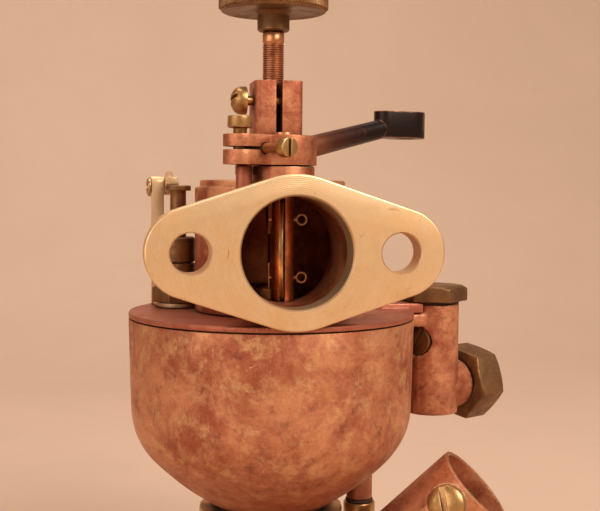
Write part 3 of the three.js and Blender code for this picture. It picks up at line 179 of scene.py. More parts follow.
def to_object(bm, name):
    mesh = bpy.data.meshes.new(name)
    bm.to_mesh(mesh)
    bm.free()
    made = bpy.data.objects.new(name, mesh)
    bpy.context.scene.collection.objects.link(made)
    return made


def finish_piece(made, material, body, *nodes, slot=None, crease=32.0):
    """Smooths a piece, gives it its finish, and puts it in its nodes' place."""
    mesh = made.data
    mesh.polygons.foreach_set("use_smooth", [True] * len(mesh.polygons))
    mesh.set_sharp_from_angle(angle=math.radians(crease))
    mesh.materials.clear()
    mesh.materials.append(material)
    mesh.update()
    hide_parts(*nodes)
    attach(made, body)
    return made


def baked(made):
    """The object with its modifiers made part of its mesh."""
    bpy.context.view_layer.update()
    graph = bpy.context.evaluated_depsgraph_get()
    mesh = bpy.data.meshes.new_from_object(made.evaluated_get(graph))
    made.modifiers.clear()
    made.data = mesh
    return made


def combine(base, tools, operation):
    """Adds or cuts a list of solids, and removes them."""
    for tool in tools:
        modifier = base.modifiers.new(operation.title(), "BOOLEAN")
        modifier.operation = operation
        modifier.solver = "EXACT"
        modifier.object = tool
    baked(base)
    for tool in tools:
        bpy.data.objects.remove(tool)
    return base


def worn_copy(node, material, body, radius, crease=32.0):
    """A CAD node with its edges rounded by handling."""
    bm = round_edges(solid_of(node), radius)
    slot = next(p["material_slot"] for p in frame["record"]["subparts"] if p["node"] == node)
    return finish_piece(to_object(bm, f"{node}_worn"), material, body, node,
                        slot=slot, crease=crease)


def arc(centre, radius, start, end, steps):
    """Points of an arc in a profile, angles in degrees."""
    turns = [math.radians(start + (end - start) * i / steps) for i in range(steps + 1)]
    return [(centre[0] + radius * math.cos(a), centre[1] + radius * math.sin(a)) for a in turns]


# ---- nodes ----
def add_node(tree, kind, inputs=None, **settings):
    made = tree.nodes.new(kind)
    for key, value in settings.items():
        setattr(made, key, value)
    for key, value in (inputs or {}).items():
        if isinstance(value, bpy.types.NodeSocket):
            tree.links.new(value, made.inputs[key])
        else:
            made.inputs[key].default_value = value
    return made


def calculate(tree, operation, first, second=0.0, clamp=False):
    made = add_node(tree, "ShaderNodeMath", {0: first, 1: second},
                    operation=operation, use_clamp=clamp)
    return made.outputs[0]


def blend(tree, factor, first, second, mode="MIX"):
    made = add_node(tree, "ShaderNodeMix", {0: factor, 6: first, 7: second},
                    data_type="RGBA", blend_type=mode)
    return made.outputs[2]


def remap(tree, value, low, high, to_low=0.0, to_high=1.0):
    made = add_node(tree, "ShaderNodeMapRange", {
        "Value": value, "From Min": low, "From Max": high, "To Min": to_low, "To Max": to_high,
    }, interpolation_type="SMOOTHSTEP")
    return made.outputs[0]


def grain(tree, vector, scale, detail=6.0, roughness=0.6, distortion=0.0):
    made = add_node(tree, "ShaderNodeTexNoise", {
        "Vector": vector, "Scale": scale, "Detail": detail, "Roughness": roughness,
        "Distortion": distortion,
    })
    return made.outputs["Fac"]


def object_position(tree):
    return add_node(tree, "ShaderNodeTexCoord").outputs["Object"]


def mapped(tree, vector, at=(0, 0, 0), turn=(0, 0, 0), scale=(1, 1, 1)):
    made = add_node(tree, "ShaderNodeMapping", {
        "Vector": vector, "Location": at, "Rotation": turn, "Scale": scale})
    return made.outputs[0]


SOCKETS = {"value": "NodeSocketFloat", "colour": "NodeSocketColor", "vector": "NodeSocketVector"}


def shader_group(name, inputs, outputs):
    """A new node group, its input sockets and the node that takes its results."""
    tree = bpy.data.node_groups.new(name, "ShaderNodeTree")
    for label, kind in inputs:
        tree.interface.new_socket(name=label, in_out="INPUT", socket_type=SOCKETS[kind])
    for label, kind in outputs:
        tree.interface.new_socket(name=label, in_out="OUTPUT", socket_type=SOCKETS[kind])
    entry = tree.nodes.new("NodeGroupInput")
    return tree, entry.outputs, tree.nodes.new("NodeGroupOutput").inputs


def use_group(tree, group, inputs):
    made = tree.nodes.new("ShaderNodeGroup")
    made.node_tree = group
    for key, value in inputs.items():
        if isinstance(value, bpy.types.NodeSocket):
            tree.links.new(value, made.inputs[key])
        else:
            made.inputs[key].default_value = value
    return made.outputs


def link(tree, source, target):
    tree.links.new(source, target)


# ---- effects shared by the finishes ----
def tarnish_group():
    """Patches of clean, stained and dark plating, with a fine speckle."""
    tree, given, result = shader_group("Tarnish", [
        ("Vector", "vector"), ("Scale", "value"), ("Clean", "colour"), ("Stained", "colour"),
        ("Dark", "colour"), ("Stain", "value"), ("Darkness", "value"), ("Speckle", "value"),
    ], [("Color", "colour"), ("Mask", "value")])
    broad = grain(tree, given["Vector"], given["Scale"], 10.0, 0.72, 0.35)
    stain = remap(tree, calculate(tree, "ADD", broad, given["Stain"]), 0.34, 0.72)
    mixed = blend(tree, stain, given["Clean"], given["Stained"])
    fine_scale = calculate(tree, "MULTIPLY", given["Scale"], 3.1)
    blots = grain(tree, mapped(tree, given["Vector"], at=(0.31, 0.17, 0.53)), fine_scale, 9.0, 0.7)
    dark = remap(tree, calculate(tree, "ADD", blots, given["Darkness"]), 0.50, 0.78)
    mixed = blend(tree, dark, mixed, given["Dark"])
    speckle_scale = calculate(tree, "MULTIPLY", given["Scale"], 24.0)
    speckle = grain(tree, given["Vector"], speckle_scale, 3.0, 0.65)
    swing = calculate(tree, "MULTIPLY", calculate(tree, "SUBTRACT", speckle, 0.5), given["Speckle"])
    level = calculate(tree, "ADD", swing, 1.0)
    grey = add_node(tree, "ShaderNodeCombineColor", {0: level, 1: level, 2: level}).outputs[0]
    link(tree, blend(tree, 1.0, mixed, grey, "MULTIPLY"), result["Color"])
    link(tree, calculate(tree, "MAXIMUM", stain, dark), result["Mask"])
    return tree


def scratch_group():
    """Thin straight marks in two directions, broken up into short runs."""
    tree, given, result = shader_group("Scratches", [
        ("Vector", "vector"), ("Scale", "value"), ("Amount", "value"),
    ], [("Mask", "value")])
    marks = []
    few = remap(tree, grain(tree, given["Vector"], 55.0, 3.0), 0.50, 0.60)
    for turn, stretch, width in (((0.2, 0.5, 0.9), (1.0, 0.10, 0.24), 0.010),
                                 ((1.1, 0.2, -0.7), (0.09, 1.0, 0.20), 0.008)):
        drawn = mapped(tree, given["Vector"], turn=turn, scale=stretch)
        wave = grain(tree, drawn, given["Scale"], 0.0, 0.5)
        off = calculate(tree, "ABSOLUTE", calculate(tree, "SUBTRACT", wave, 0.5))
        line = remap(tree, off, width, 0.0)
        runs = remap(tree, grain(tree, drawn, calculate(tree, "MULTIPLY", given["Scale"], 1.7), 1.0),
                     0.54, 0.60)
        marks.append(calculate(tree, "MULTIPLY", calculate(tree, "MULTIPLY", line, runs), few))
    both = calculate(tree, "MAXIMUM", *marks)
    link(tree, calculate(tree, "MULTIPLY", both, given["Amount"]), result["Mask"])
    return tree


def edge_group():
    """Where handling has rubbed an edge bright, broken up by a grain."""
    tree, given, result = shader_group("Edge Wear", [
        ("Vector", "vector"), ("Radius", "value"), ("Amount", "value"),
    ], [("Mask", "value")])
    rounded = add_node(tree, "ShaderNodeBevel", {"Radius": given["Radius"]}, samples=4)
    true_normal = add_node(tree, "ShaderNodeNewGeometry").outputs["Normal"]
    facing = add_node(tree, "ShaderNodeVectorMath", {
        0: rounded.outputs[0], 1: true_normal}, operation="DOT_PRODUCT").outputs["Value"]
    turned = remap(tree, facing, 0.995, 0.88)
    broken = remap(tree, grain(tree, given["Vector"], 420.0, 5.0, 0.7), 0.32, 0.62)
    worn = calculate(tree, "MULTIPLY", turned, broken)
    link(tree, calculate(tree, "MULTIPLY", worn, given["Amount"]), result["Mask"])
    return tree


def crevice_shade_group():
    """Painted shade where two surfaces meet, from an ambient occlusion mask, broken into patches by a
    grain.
    """
    tree, given, result = shader_group("Crevice Shade", [
        ("Vector", "vector"), ("Reach", "value"), ("Amount", "value"),
    ], [("Mask", "value")])
    open_sky = add_node(tree, "ShaderNodeAmbientOcclusion", {"Distance": given["Reach"]}, samples=6)
    shut = remap(tree, open_sky.outputs["AO"], 0.78, 0.25)
    patchy = remap(tree, grain(tree, given["Vector"], 260.0, 5.0, 0.65), 0.2, 0.6, 0.35, 1.0)
    # Painted shade in the crevices, made patchy by the grain.
    shade_in_creases = calculate(tree, "MULTIPLY", shut, patchy)
    link(tree, calculate(tree, "MULTIPLY", shade_in_creases, given["Amount"]), result["Mask"])
    return tree


def tool_mark_group():
    """Rings that a turning tool leaves round the Z axis of its vector."""
    tree, given, result = shader_group("Tool Marks", [
        ("Vector", "vector"), ("Pitch", "value"), ("Unevenness", "value"),
    ], [("Height", "value"), ("Mask", "value")])
    flat = add_node(tree, "ShaderNodeVectorMath", {
        0: given["Vector"], 1: (1, 1, 0)}, operation="MULTIPLY").outputs[0]
    reach = add_node(tree, "ShaderNodeVectorMath", {0: flat}, operation="LENGTH").outputs["Value"]
    wander = calculate(tree, "MULTIPLY", grain(tree, given["Vector"], 45.0, 2.0),
                       given["Unevenness"])
    rings = calculate(tree, "DIVIDE", calculate(tree, "ADD", reach, wander), given["Pitch"])
    height = calculate(tree, "SINE", calculate(tree, "MULTIPLY", rings, math.tau))
    ring_line = add_node(tree, "ShaderNodeCombineXYZ", {0: reach}).outputs[0]
    bands = grain(tree, ring_line, 900.0, 4.0, 0.8)
    link(tree, height, result["Height"])
    link(tree, bands, result["Mask"])
    return tree


GROUPS = {
    "tarnish": ("Tarnish", tarnish_group), "scratches": ("Scratches", scratch_group),
    "edge": ("Edge Wear", edge_group), "crevice_shade": ("Crevice Shade", crevice_shade_group),
    "tool_marks": ("Tool Marks", tool_mark_group),
}


def effect(name):
    """The shared node group of that name, made when it is first asked for."""
    label, build = GROUPS[name]
    return bpy.data.node_groups.get(label) or build()


# ---- finishes ----
class Finish:
    """A material being built: its tree, its shader and the effects put on it so far."""

    def __init__(self, name, metallic=1.0):
        self.material = bpy.data.materials.new(name)
        self.material.use_nodes = True
        self.tree = self.material.node_tree
        self.tree.nodes.clear()
        self.shader = add_node(self.tree, "ShaderNodeBsdfPrincipled", {"Metallic": metallic})
        output = add_node(self.tree, "ShaderNodeOutputMaterial")
        link(self.tree, self.shader.outputs[0], output.inputs[0])
        self.position = object_position(self.tree)
        self.colour = None
        self.rough = 0.4
        self.height = None

    def tarnish(self, clean, stained, dark, scale=42.0, stain=0.0, darkness=0.0, speckle=0.25):
        made = use_group(self.tree, effect("tarnish"), {
            "Vector": self.position, "Scale": scale, "Clean": clean, "Stained": stained,
            "Dark": dark, "Stain": stain, "Darkness": darkness, "Speckle": speckle})
        self.colour = made["Color"]
        self.mask = made["Mask"]
        return self

    def roughness(self, clean, stained, ripple=0.16, scale=300.0):
        base = remap(self.tree, self.mask, 0.0, 1.0, clean, stained)
        swing = grain(self.tree, self.position, scale, 5.0, 0.7)
        swing = calculate(self.tree, "MULTIPLY", calculate(self.tree, "SUBTRACT", swing, 0.5), ripple)
        self.rough = calculate(self.tree, "ADD", base, swing, clamp=True)
        return self

    def over(self, mask, tint, rough=None, share=1.0):
        """Another colour where the mask says, and its own roughness if given."""
        if share < 1:
            mask = calculate(self.tree, "MULTIPLY", mask, share)
        self.colour = blend(self.tree, mask, self.colour, tint)
        if rough is not None:
            mixed = add_node(self.tree, "ShaderNodeMix", {0: mask, 2: self.rough, 3: rough})
            self.rough = mixed.outputs[0]
        return self

    def edges(self, tint, amount=0.8, radius=0.0008, rough=0.28):
        made = use_group(self.tree, effect("edge"), {
            "Vector": self.position, "Radius": radius, "Amount": amount})
        return self.over(made["Mask"], tint, rough)

    # Painted shade in crevices and where parts meet, in the given tint.
    def crevice_shade(self, tint, amount=0.75, reach=0.006, rough=0.62):
        made = use_group(self.tree, effect("crevice_shade"), {
            "Vector": self.position, "Reach": reach, "Amount": amount})
        return self.over(made["Mask"], tint, rough)

    def scratches(self, tint, amount=0.6, scale=90.0, depth=0.35):
        made = use_group(self.tree, effect("scratches"), {
            "Vector": self.position, "Scale": scale, "Amount": amount})
        self.over(made["Mask"], tint, 0.3)
        return self.raised(calculate(self.tree, "MULTIPLY", made["Mask"], -depth))

    def raised(self, height):
        """Adds to the height that the bump is made from."""
        self.height = height if self.height is None else calculate(
            self.tree, "ADD", self.height, height)
        return self

    def pits(self, scale=900.0, depth=0.5, detail=3.0):
        rough = grain(self.tree, self.position, scale, detail, 0.6)
        return self.raised(calculate(self.tree, "MULTIPLY", rough, depth))

    def dents(self, scale=110.0, depth=1.2):
        soft = grain(self.tree, self.position, scale, 2.0, 0.5)
        return self.raised(calculate(self.tree, "MULTIPLY", soft, depth))

    def tool_marks(self, at, axis, pitch, depth=0.5, tint=None, share=0.5, where=None):
        """Turning marks about an axis through a point, and a faint tint in rings."""
        turn = Vector(axis).normalized().rotation_difference(Vector((0, 0, 1)))
        centred = mapped(self.tree, self.position, at=tuple(-Vector(at)))
        turned = mapped(self.tree, centred, turn=tuple(turn.to_euler()))
        made = use_group(self.tree, effect("tool_marks"), {
            "Vector": turned, "Pitch": pitch, "Unevenness": 0.0003})
        where = 1.0 if where is None else where
        height = calculate(self.tree, "MULTIPLY", made["Height"], depth)
        self.raised(calculate(self.tree, "MULTIPLY", height, where))
        if tint is not None:
            ring = remap(self.tree, made["Mask"], 0.42, 0.62, 0.0, share)
            self.over(calculate(self.tree, "MULTIPLY", ring, where), tint)
        return self

    def band(self, direction, start, end):
        """From 0 to 1 as a point passes from one distance to another along a direction."""
        reach = add_node(self.tree, "ShaderNodeVectorMath", {
            0: self.position, 1: tuple(Vector(direction).normalized())},
            operation="DOT_PRODUCT").outputs["Value"]
        return remap(self.tree, reach, start, end)

    def done(self, bump=0.35, distance=0.0002):
        link(self.tree, self.colour, self.shader.inputs["Base Color"])
        if isinstance(self.rough, bpy.types.NodeSocket):
            link(self.tree, self.rough, self.shader.inputs["Roughness"])
        else:
            self.shader.inputs["Roughness"].default_value = self.rough
        if self.height is not None:
            made = add_node(self.tree, "ShaderNodeBump", {
                "Strength": bump, "Distance": distance, "Height": self.height})
            link(self.tree, made.outputs[0], self.shader.inputs["Normal"])
        return self.material


def colours():
    return bpy.context.scene.carburetor_colours


def sizes():
    return bpy.context.scene.carburetor_sizes


def bowl_copper():
    c = colours()
    made = Finish("bowl_copper", 0.62).tarnish(
        tuple(c.copper), tuple(c.copper_red), tuple(c.copper_dark), 50.0, 0.05, -0.01, 0.55)
    made.roughness(0.46, 0.58, 0.2)
    golden = grain(made.tree, mapped(made.tree, made.position, at=(0.9, 0.2, 0.4)), 130.0, 9.0, 0.78)
    made.over(remap(made.tree, golden, 0.47, 0.68, 0.0, 0.7), tuple(c.gold_dull))
    # Painted shade: the bowl's lower belly darkened towards red copper.
    made.over(made.band((0, 0, -1), 0.066, 0.095), tuple(c.copper_red), 0.55, share=0.5)
    made.crevice_shade(tuple(c.copper_dark), 0.85, 0.006)
    made.scratches(tuple(c.gold), 0.6, 620.0, 0.2)
    return made.pits(1100.0, 0.45).dents(75.0, 1.3).done(0.4)


def cast_copper():
    c = colours()
    made = Finish("cast_copper", 0.66).tarnish(
        tuple(c.copper), tuple(c.copper_red), tuple(c.copper_dark), 95.0, 0.06, 0.0, 0.6)
    made.roughness(0.48, 0.6, 0.2).crevice_shade(tuple(c.copper_dark), 0.85, 0.006)
    made.edges(tuple(c.copper), 0.6)
    return made.pits(900.0, 1.2, 5.0).dents(240.0, 1.0).done(0.55)


def lid_copper():
    c = colours()
    made = Finish("lid_copper", 0.68).tarnish(
        tuple(c.cover), tuple(c.copper_red), tuple(c.copper_dark), 60.0, -0.03, -0.05, 0.3)
    made.roughness(0.44, 0.56).crevice_shade(tuple(c.copper_dark), 0.8, 0.006)
    made.edges(tuple(c.copper), 0.8).scratches(tuple(c.gold), 0.5, 380.0, 0.2)
    return made.pits(1200.0, 0.6).done(0.4)


def flange_brass():
    """Machined pale on the face, copper from the flange's back to the chamber."""
    c = colours()
    made = Finish("flange_brass", 0.82).tarnish(
        tuple(c.gold), tuple(c.gold_dull), tuple(c.copper_red), 48.0, -0.05, -0.10, 0.14)
    made.roughness(0.38, 0.48, 0.14)
    face = made.band((0, -1, 0), -0.0009, -0.0002)
    made.tool_marks((0, 0, 0), (0, 1, 0), 0.0006, 0.12, tuple(c.gold_dull), 0.22, face)
    copper = made.band((0, 1, 0), 0.0092, 0.0112)
    patches = grain(made.tree, made.position, 60.0, 7.0, 0.65)
    plating = blend(made.tree, remap(made.tree, patches, 0.4, 0.62), tuple(c.copper), tuple(c.copper_red))
    made.over(copper, plating, 0.5)
    made.edges(tuple(c.gold), 0.85, 0.001).crevice_shade(tuple(c.copper_dark), 0.7, 0.007)
    made.scratches(tuple(c.copper_red), 0.5, 320.0, 0.2)
    return made.pits(1000.0, 0.3).done(0.4)


def lever_copper():
    """Copper at the hub, brown along the arm and black with oil at the eye."""
    c = colours()
    made = Finish("lever_copper", 0.75).tarnish(
        tuple(c.copper), tuple(c.copper_red), tuple(c.copper_dark), 75.0, 0.05, 0.0, 0.35)
    made.roughness(0.42, 0.5)
    heading = (math.cos(LEVER_TURN), math.sin(LEVER_TURN), 0)
    hub = SHAFT_Y * math.sin(LEVER_TURN)
    made.over(made.band(heading, hub + 0.004, hub + 0.022), tuple(c.copper_dark), 0.42)
    made.over(made.band(heading, hub + 0.008, hub + 0.040), tuple(c.oil_and_shade), 0.34, share=0.92)
    made.edges(tuple(c.copper), 0.75)
    made.crevice_shade(tuple(c.oil_and_shade), 0.8, 0.005).scratches(tuple(c.copper), 0.5, 420.0, 0.2)
    return made.pits(1200.0, 0.8).done(0.4)


def bright_brass(name, scale=110.0, dull=0.0):
    c = colours()
    made = Finish(name, 0.85).tarnish(
        tuple(c.brass), tuple(c.brass_dull), tuple(c.olive), scale, dull, dull - 0.05, 0.2)
    made.roughness(0.3, 0.45).edges(tuple(c.gold), 0.9).crevice_shade(tuple(c.copper_dark), 0.85, 0.003)
    return made.scratches(tuple(c.gold), 0.5, 480.0, 0.2).pits(1500.0, 0.4).done(0.35)


def pale_brass():
    c = colours()
    made = Finish("pale_brass", 0.75).tarnish(
        tuple(c.gold), tuple(c.gold_dull), tuple(c.copper_red), 90.0, -0.02, -0.06, 0.25)
    made.roughness(0.36, 0.48).edges(tuple(c.gold), 0.9).crevice_shade(tuple(c.copper_dark), 0.85, 0.004)
    return made.scratches(tuple(c.copper_red), 0.5, 420.0, 0.2).pits(1300.0, 0.5).done(0.35)


def old_brass():
    c = colours()
    made = Finish("old_brass", 0.8).tarnish(
        tuple(c.brass_dull), tuple(c.olive), tuple(c.copper_dark), 100.0, 0.02, 0.0, 0.45)
    made.roughness(0.42, 0.58).crevice_shade(tuple(c.oil_and_shade), 0.7, 0.004).edges(tuple(c.brass), 0.85)
    return made.scratches(tuple(c.brass), 0.9, 340.0, 0.2).pits(1100.0, 0.9).done(0.45)


def knob_brass():
    """Handled bright on the crests of the knurling, with painted shade in its grooves."""
    c = colours()
    made = Finish("knob_brass", 0.78).tarnish(
        tuple(c.brass_dull), tuple(c.olive), tuple(c.copper_dark), 95.0, 0.03, 0.0, 0.4)
    made.roughness(0.4, 0.54)
    made.edges(tuple(c.brass), 0.95, 0.0005).crevice_shade(tuple(c.oil_and_shade), 0.9, 0.004)
    return made.scratches(tuple(c.gold), 0.5, 420.0, 0.2).pits(1300.0, 0.5).done(0.35)


def turned_copper():
    c = colours()
    made = Finish("turned_copper", 0.88).tarnish(
        tuple(c.copper), tuple(c.copper_red), tuple(c.copper_dark), 120.0, 0.0, -0.05, 0.2)
    made.roughness(0.3, 0.42)
    made.crevice_shade(tuple(c.oil_and_shade), 0.95, 0.0016).edges(tuple(c.copper), 0.7, 0.0004)
    return made.pits(1400.0, 0.5).done(0.3)


def horn_copper():
    """Copper all over, rubbed to brass on the mouth's rim."""
    c = colours()
    made = Finish("horn_copper", 0.7).tarnish(
        tuple(c.copper), tuple(c.copper_red), tuple(c.copper_dark), 70.0, 0.03, -0.02, 0.35)
    made.roughness(0.42, 0.54)
    made.crevice_shade(tuple(c.copper_dark), 0.7, 0.006).edges(tuple(c.gold), 0.9, 0.0009)
    made.scratches(tuple(c.gold), 0.6, 380.0, 0.2)
    return made.pits(1000.0, 0.4).dents(120.0, 0.8).done(0.4)


def steel_grey():
    c = colours()
    made = Finish("steel_grey", 1.0).tarnish(
        tuple(c.steel), tuple(c.brass_dull), tuple(c.oil_and_shade), 90.0, -0.08, -0.1, 0.2)
    return made.roughness(0.3, 0.42).pits(1500.0, 0.3).done(0.25)


def cork_brown():
    c = colours()
    made = Finish("cork_brown", 0.0).tarnish(
        tuple(c.cork), tuple(c.brass_dull), tuple(c.fibre), 160.0, 0.0, -0.02, 0.5)
    return made.roughness(0.6, 0.8).pits(500.0, 1.5, 6.0).done(0.6)


def gasket_fibre():
    c = colours()
    made = Finish("gasket_fibre", 0.0).tarnish(
        tuple(c.fibre), tuple(c.copper_dark), tuple(c.oil_and_shade), 200.0, -0.05, 0.0, 0.6)
    return made.roughness(0.75, 0.85).pits(1400.0, 1.2, 5.0).done(0.5)


FINISHES = {
    "bowl_copper": bowl_copper, "cast_copper": cast_copper, "lid_copper": lid_copper,
    "flange_brass": flange_brass, "lever_copper": lever_copper, "old_brass": old_brass,
    "knob_brass": knob_brass, "turned_copper": turned_copper, "horn_copper": horn_copper,
    "steel_grey": steel_grey, "cork_brown": cork_brown, "gasket_fibre": gasket_fibre,
    "bright_brass": lambda: bright_brass("bright_brass"),
    "dull_brass": lambda: bright_brass("dull_brass", 90.0, 0.08),
    "pale_brass": pale_brass,
}


def finish_of(name):
    """The material of that name, made when it is first asked for."""
    return bpy.data.materials.get(name) or FINISHES[name]()


def dress(node, finish):
    """Gives a CAD node that stays as it is its finish."""
    mesh = frame["nodes"][node].data
    mesh.materials.clear()
    mesh.materials.append(finish_of(finish))


# ---- operators ----
class MakeMixingChamber(Operator):
    """Cast chamber with its outlet tube, machined flange and throttle boss"""

    bl_idname = "carburetor.mixing_chamber"
    bl_label = "Mixing Chamber"

    def execute(self, context):
        size = sizes()
        base = to_object(self.flange(size.flange_edge), "mixing_chamber_cast")
        tube = place(lathe([(0, 5), (22.2, 5), (22.2, 50), (0, 50)], closed=False),
                     turn=along((0, 1, 0)))
        needle = (0, NEEDLE_Y, COVER_Z)
        chamber = round_edges(lathe([
            (0, 2.2), (28.3, 2.2), (28.3, 47), (26.5, 47), (26.5, 49.5), (0, 49.5)],
            128, closed=False), 0.7 * MM)
        boss = round_edges(lathe([(0, 40), (10.8, 40), (10.8, 54.2), (0, 54.2)],
                                 64, closed=False), 0.6 * MM)
        shaft = (0, SHAFT_Y, COVER_Z)
        solids = [to_object(tube, "tube"), to_object(place(chamber, at=needle), "chamber"),
                  to_object(place(boss, at=shaft), "boss")]
        combine(base, solids, "UNION")

        bore = lathe([(0, -1), (19.6, -1), (18.25, 0.7), (18.25, 54.6), (0, 54.6)], closed=False)
        cavity = round_edges(lathe([(0, 7.2), (24.9, 7.2), (24.9, 43.6), (0, 43.6)],
                                   closed=False), 2.0 * MM)
        riser = lathe([(0, 1), (13.3, 1), (13.3, 9), (0, 9)], 64, closed=False)
        shaft_hole = lathe([(0, 5), (4.3, 5), (4.3, 56), (0, 56)], 40, closed=False)
        post_hole = lathe([(0, 42), (6.3, 42), (6.3, 51), (0, 51)], 40, closed=False)
        pin_hole = lathe([(0, 40), (3.05, 40), (3.05, 52), (0, 52)], 32, closed=False)
        cuts = [to_object(place(bore, turn=along((0, 1, 0))), "bore"),
                to_object(place(cavity, at=needle), "cavity"),
                to_object(place(riser, at=needle), "riser"),
                to_object(place(shaft_hole, at=shaft), "shaft_hole"),
                to_object(place(post_hole, at=needle), "post_hole"),
                to_object(place(pin_hole, at=(-0.0144, NEEDLE_Y - 0.030, COVER_Z)), "pin_hole"),
                self.tickler_clearance()]
        for side in (-1, 1):
            hole = lathe([(0, -1), (7.7, -1), (6.5, 0.5), (6.5, 9.5), (7.7, 11), (0, 11)],
                         64, closed=False)
            turn = along((0, 1, 0))
            cuts.append(to_object(place(hole, at=(side * 0.03415, 0, 0), turn=turn), "bolt_hole"))
        combine(base, cuts, "DIFFERENCE")
        finish_piece(base, finish_of("flange_brass"), "carburetor_body", "mixing_chamber",
                     slot="machined_face", crease=28.0)

        pin = round_edges(solid_of("stop_pin"), size.edge)
        finish_piece(to_object(pin, "stop_pin_turned"), finish_of("lid_copper"),
                     "carburetor_body", "stop_pin", slot="copper_plate")
        return {"FINISHED"}

    @staticmethod
    def flange(edge):
        """The hull of its four rounds, from the face to the back."""
        bm = bmesh.new()
        rounds = ((34.15, 0, 14.6), (0, 0, 25.3), (-34.15, 0, 14.6), (0, -16.3, 9.0))
        for x, z, radius in rounds:
            for y in (0, 10):
                lay = Matrix.Translation((x * MM, y * MM, z * MM)) @ Matrix.Rotation(math.pi / 2, 4, "X")
                bmesh.ops.create_circle(bm, segments=144, radius=radius * MM, matrix=lay)
        hull = bmesh.ops.convex_hull(bm, input=bm.verts)
        inside = [v for v in hull["geom_interior"] if isinstance(v, bmesh.types.BMVert)]
        bmesh.ops.delete(bm, geom=inside, context="VERTS")
        bmesh.ops.dissolve_limit(bm, angle_limit=math.radians(0.3), verts=bm.verts, edges=bm.edges)
        bmesh.ops.recalc_face_normals(bm, faces=bm.faces)
        return round_edges(bm, edge, 4, 50.0)

    @staticmethod
    def tickler_clearance():
        """The relief that lets the tickler's nut stand against the chamber."""
        bm = bmesh.new()
        bmesh.ops.create_cone(bm, cap_ends=True, segments=6, radius1=10.2 * MM,
                              radius2=10.2 * MM, depth=12 * MM)
        turn = Matrix.Rotation(math.radians(-24.2 + 30), 3, "Z")
        place(bm, at=(-0.0334, NEEDLE_Y + 0.015, COVER_Z + 0.0043), turn=turn)
        return to_object(bm, "tickler_clearance")


class MakeFuelBowl(Operator):
    """Spun bowl with its cast fuel column, inlet boss and drain boss"""

    bl_idname = "carburetor.fuel_bowl"
    bl_label = "Fuel Bowl"

    # The bowl's outside: straight, a tight corner, then a shallow belly.
    CORNER = (24.5, -32.5)
    CORNER_R = 27.0
    BELLY_R = 104.0
    CORNER_ANGLE = 44.0
    BELLY_ANGLE = 17.0

    def execute(self, context):
        size = sizes()
        material = finish_of("bowl_copper")
        bm = lathe(self.profile(), 160)
        round_edges(bm, 0.35 * MM, 2, 50.0)
        self.dent(bm, size.dent)
        place(bm, at=(0, NEEDLE_Y, COVER_Z))
        bowl = to_object(bm, "fuel_bowl_spun")
        finish_piece(bowl, material, "carburetor_body", "float_bowl", slot="copper_plate")
        self.column(size)
        drain = round_edges(lathe([(3, -70.9), (4.9, -70.9), (4.9, -58), (3, -58)], 40), 0.3 * MM)
        place(drain, at=(0.035, NEEDLE_Y + 0.005, COVER_Z))
        finish_piece(to_object(drain, "drain_boss"), material, "carburetor_body",
                     "float_bowl", slot="copper_plate")
        return {"FINISHED"}

    def profile(self):
        outside = self.side(0.0)
        inside = self.side(2.0)
        return outside + inside[::-1]

    def side(self, inset):
        end = -self.CORNER_ANGLE
        reach = self.BELLY_R - self.CORNER_R
        belly = (self.CORNER[0] - reach * math.cos(math.radians(end)),
                 self.CORNER[1] - reach * math.sin(math.radians(end)))
        straight = [(52.2 - inset, -0.4), (52.0 - inset, -12), (51.75 - inset, -24)]
        corner = arc(self.CORNER, self.CORNER_R - inset, 0, end, 14)
        under = arc(belly, self.BELLY_R - inset, end, end - self.BELLY_ANGLE, 10)[1:]
        last = under[-1]
        return straight + corner + under + [(13.3, last[1] - 2.2 * (last[0] - 13.3) / 8)]

    @staticmethod
    def dent(bm, depth):
        """Soft unevenness, fading out at the rim and at the foot."""
        for vert in bm.verts:
            height = vert.co.z / MM
            fade = max(0.0, min(1.0, (-height - 4) / 8, (height + 70) / 8))
            soft = noise.noise(vert.co * 38) + 0.5 * noise.noise(vert.co * 90)
            out = Vector((vert.co.x, vert.co.y, 0)).normalized()
            vert.co += out * (soft - 0.35) * depth * fade

    @staticmethod
    def column(size):
        """The column's side of the casting, with cast edges all over."""
        bm = bmesh.new()
        bm.from_mesh(frame["nodes"]["float_bowl"].data)
        bmesh.ops.remove_doubles(bm, verts=bm.verts, dist=2e-6)
        turn = math.radians(8)
        out = Vector((math.cos(turn), math.sin(turn), 0))
        bmesh.ops.bisect_plane(
            bm, geom=bm.verts[:] + bm.edges[:] + bm.faces[:], dist=1e-7,
            plane_co=Vector((0, NEEDLE_Y, 0)) + out * 0.0512, plane_no=out, clear_inner=True)
        rims = [e for e in bm.edges if e.is_boundary]
        bmesh.ops.holes_fill(bm, edges=rims, sides=0)
        cut = to_object(bm, "fuel_column_cast")
        remesh = cut.modifiers.new("Casting", "REMESH")
        remesh.mode = "VOXEL"
        remesh.voxel_size = size.voxel
        smooth = cut.modifiers.new("Soften", "SMOOTH")
        smooth.factor = 0.6
        smooth.iterations = 5
        baked(cut)
        finish_piece(cut, finish_of("cast_copper"), "carburetor_body", "float_bowl",
                     slot="copper_plate", crease=60.0)


class MakeBowlCover(Operator):
    """Flat cover of the bowl with the float arm's raised housing"""

    bl_idname = "carburetor.bowl_cover"
    bl_label = "Bowl Cover"

    def execute(self, context):
        worn_copy("bowl_cover", finish_of("lid_copper"), "carburetor_body", sizes().edge)
        return {"FINISHED"}


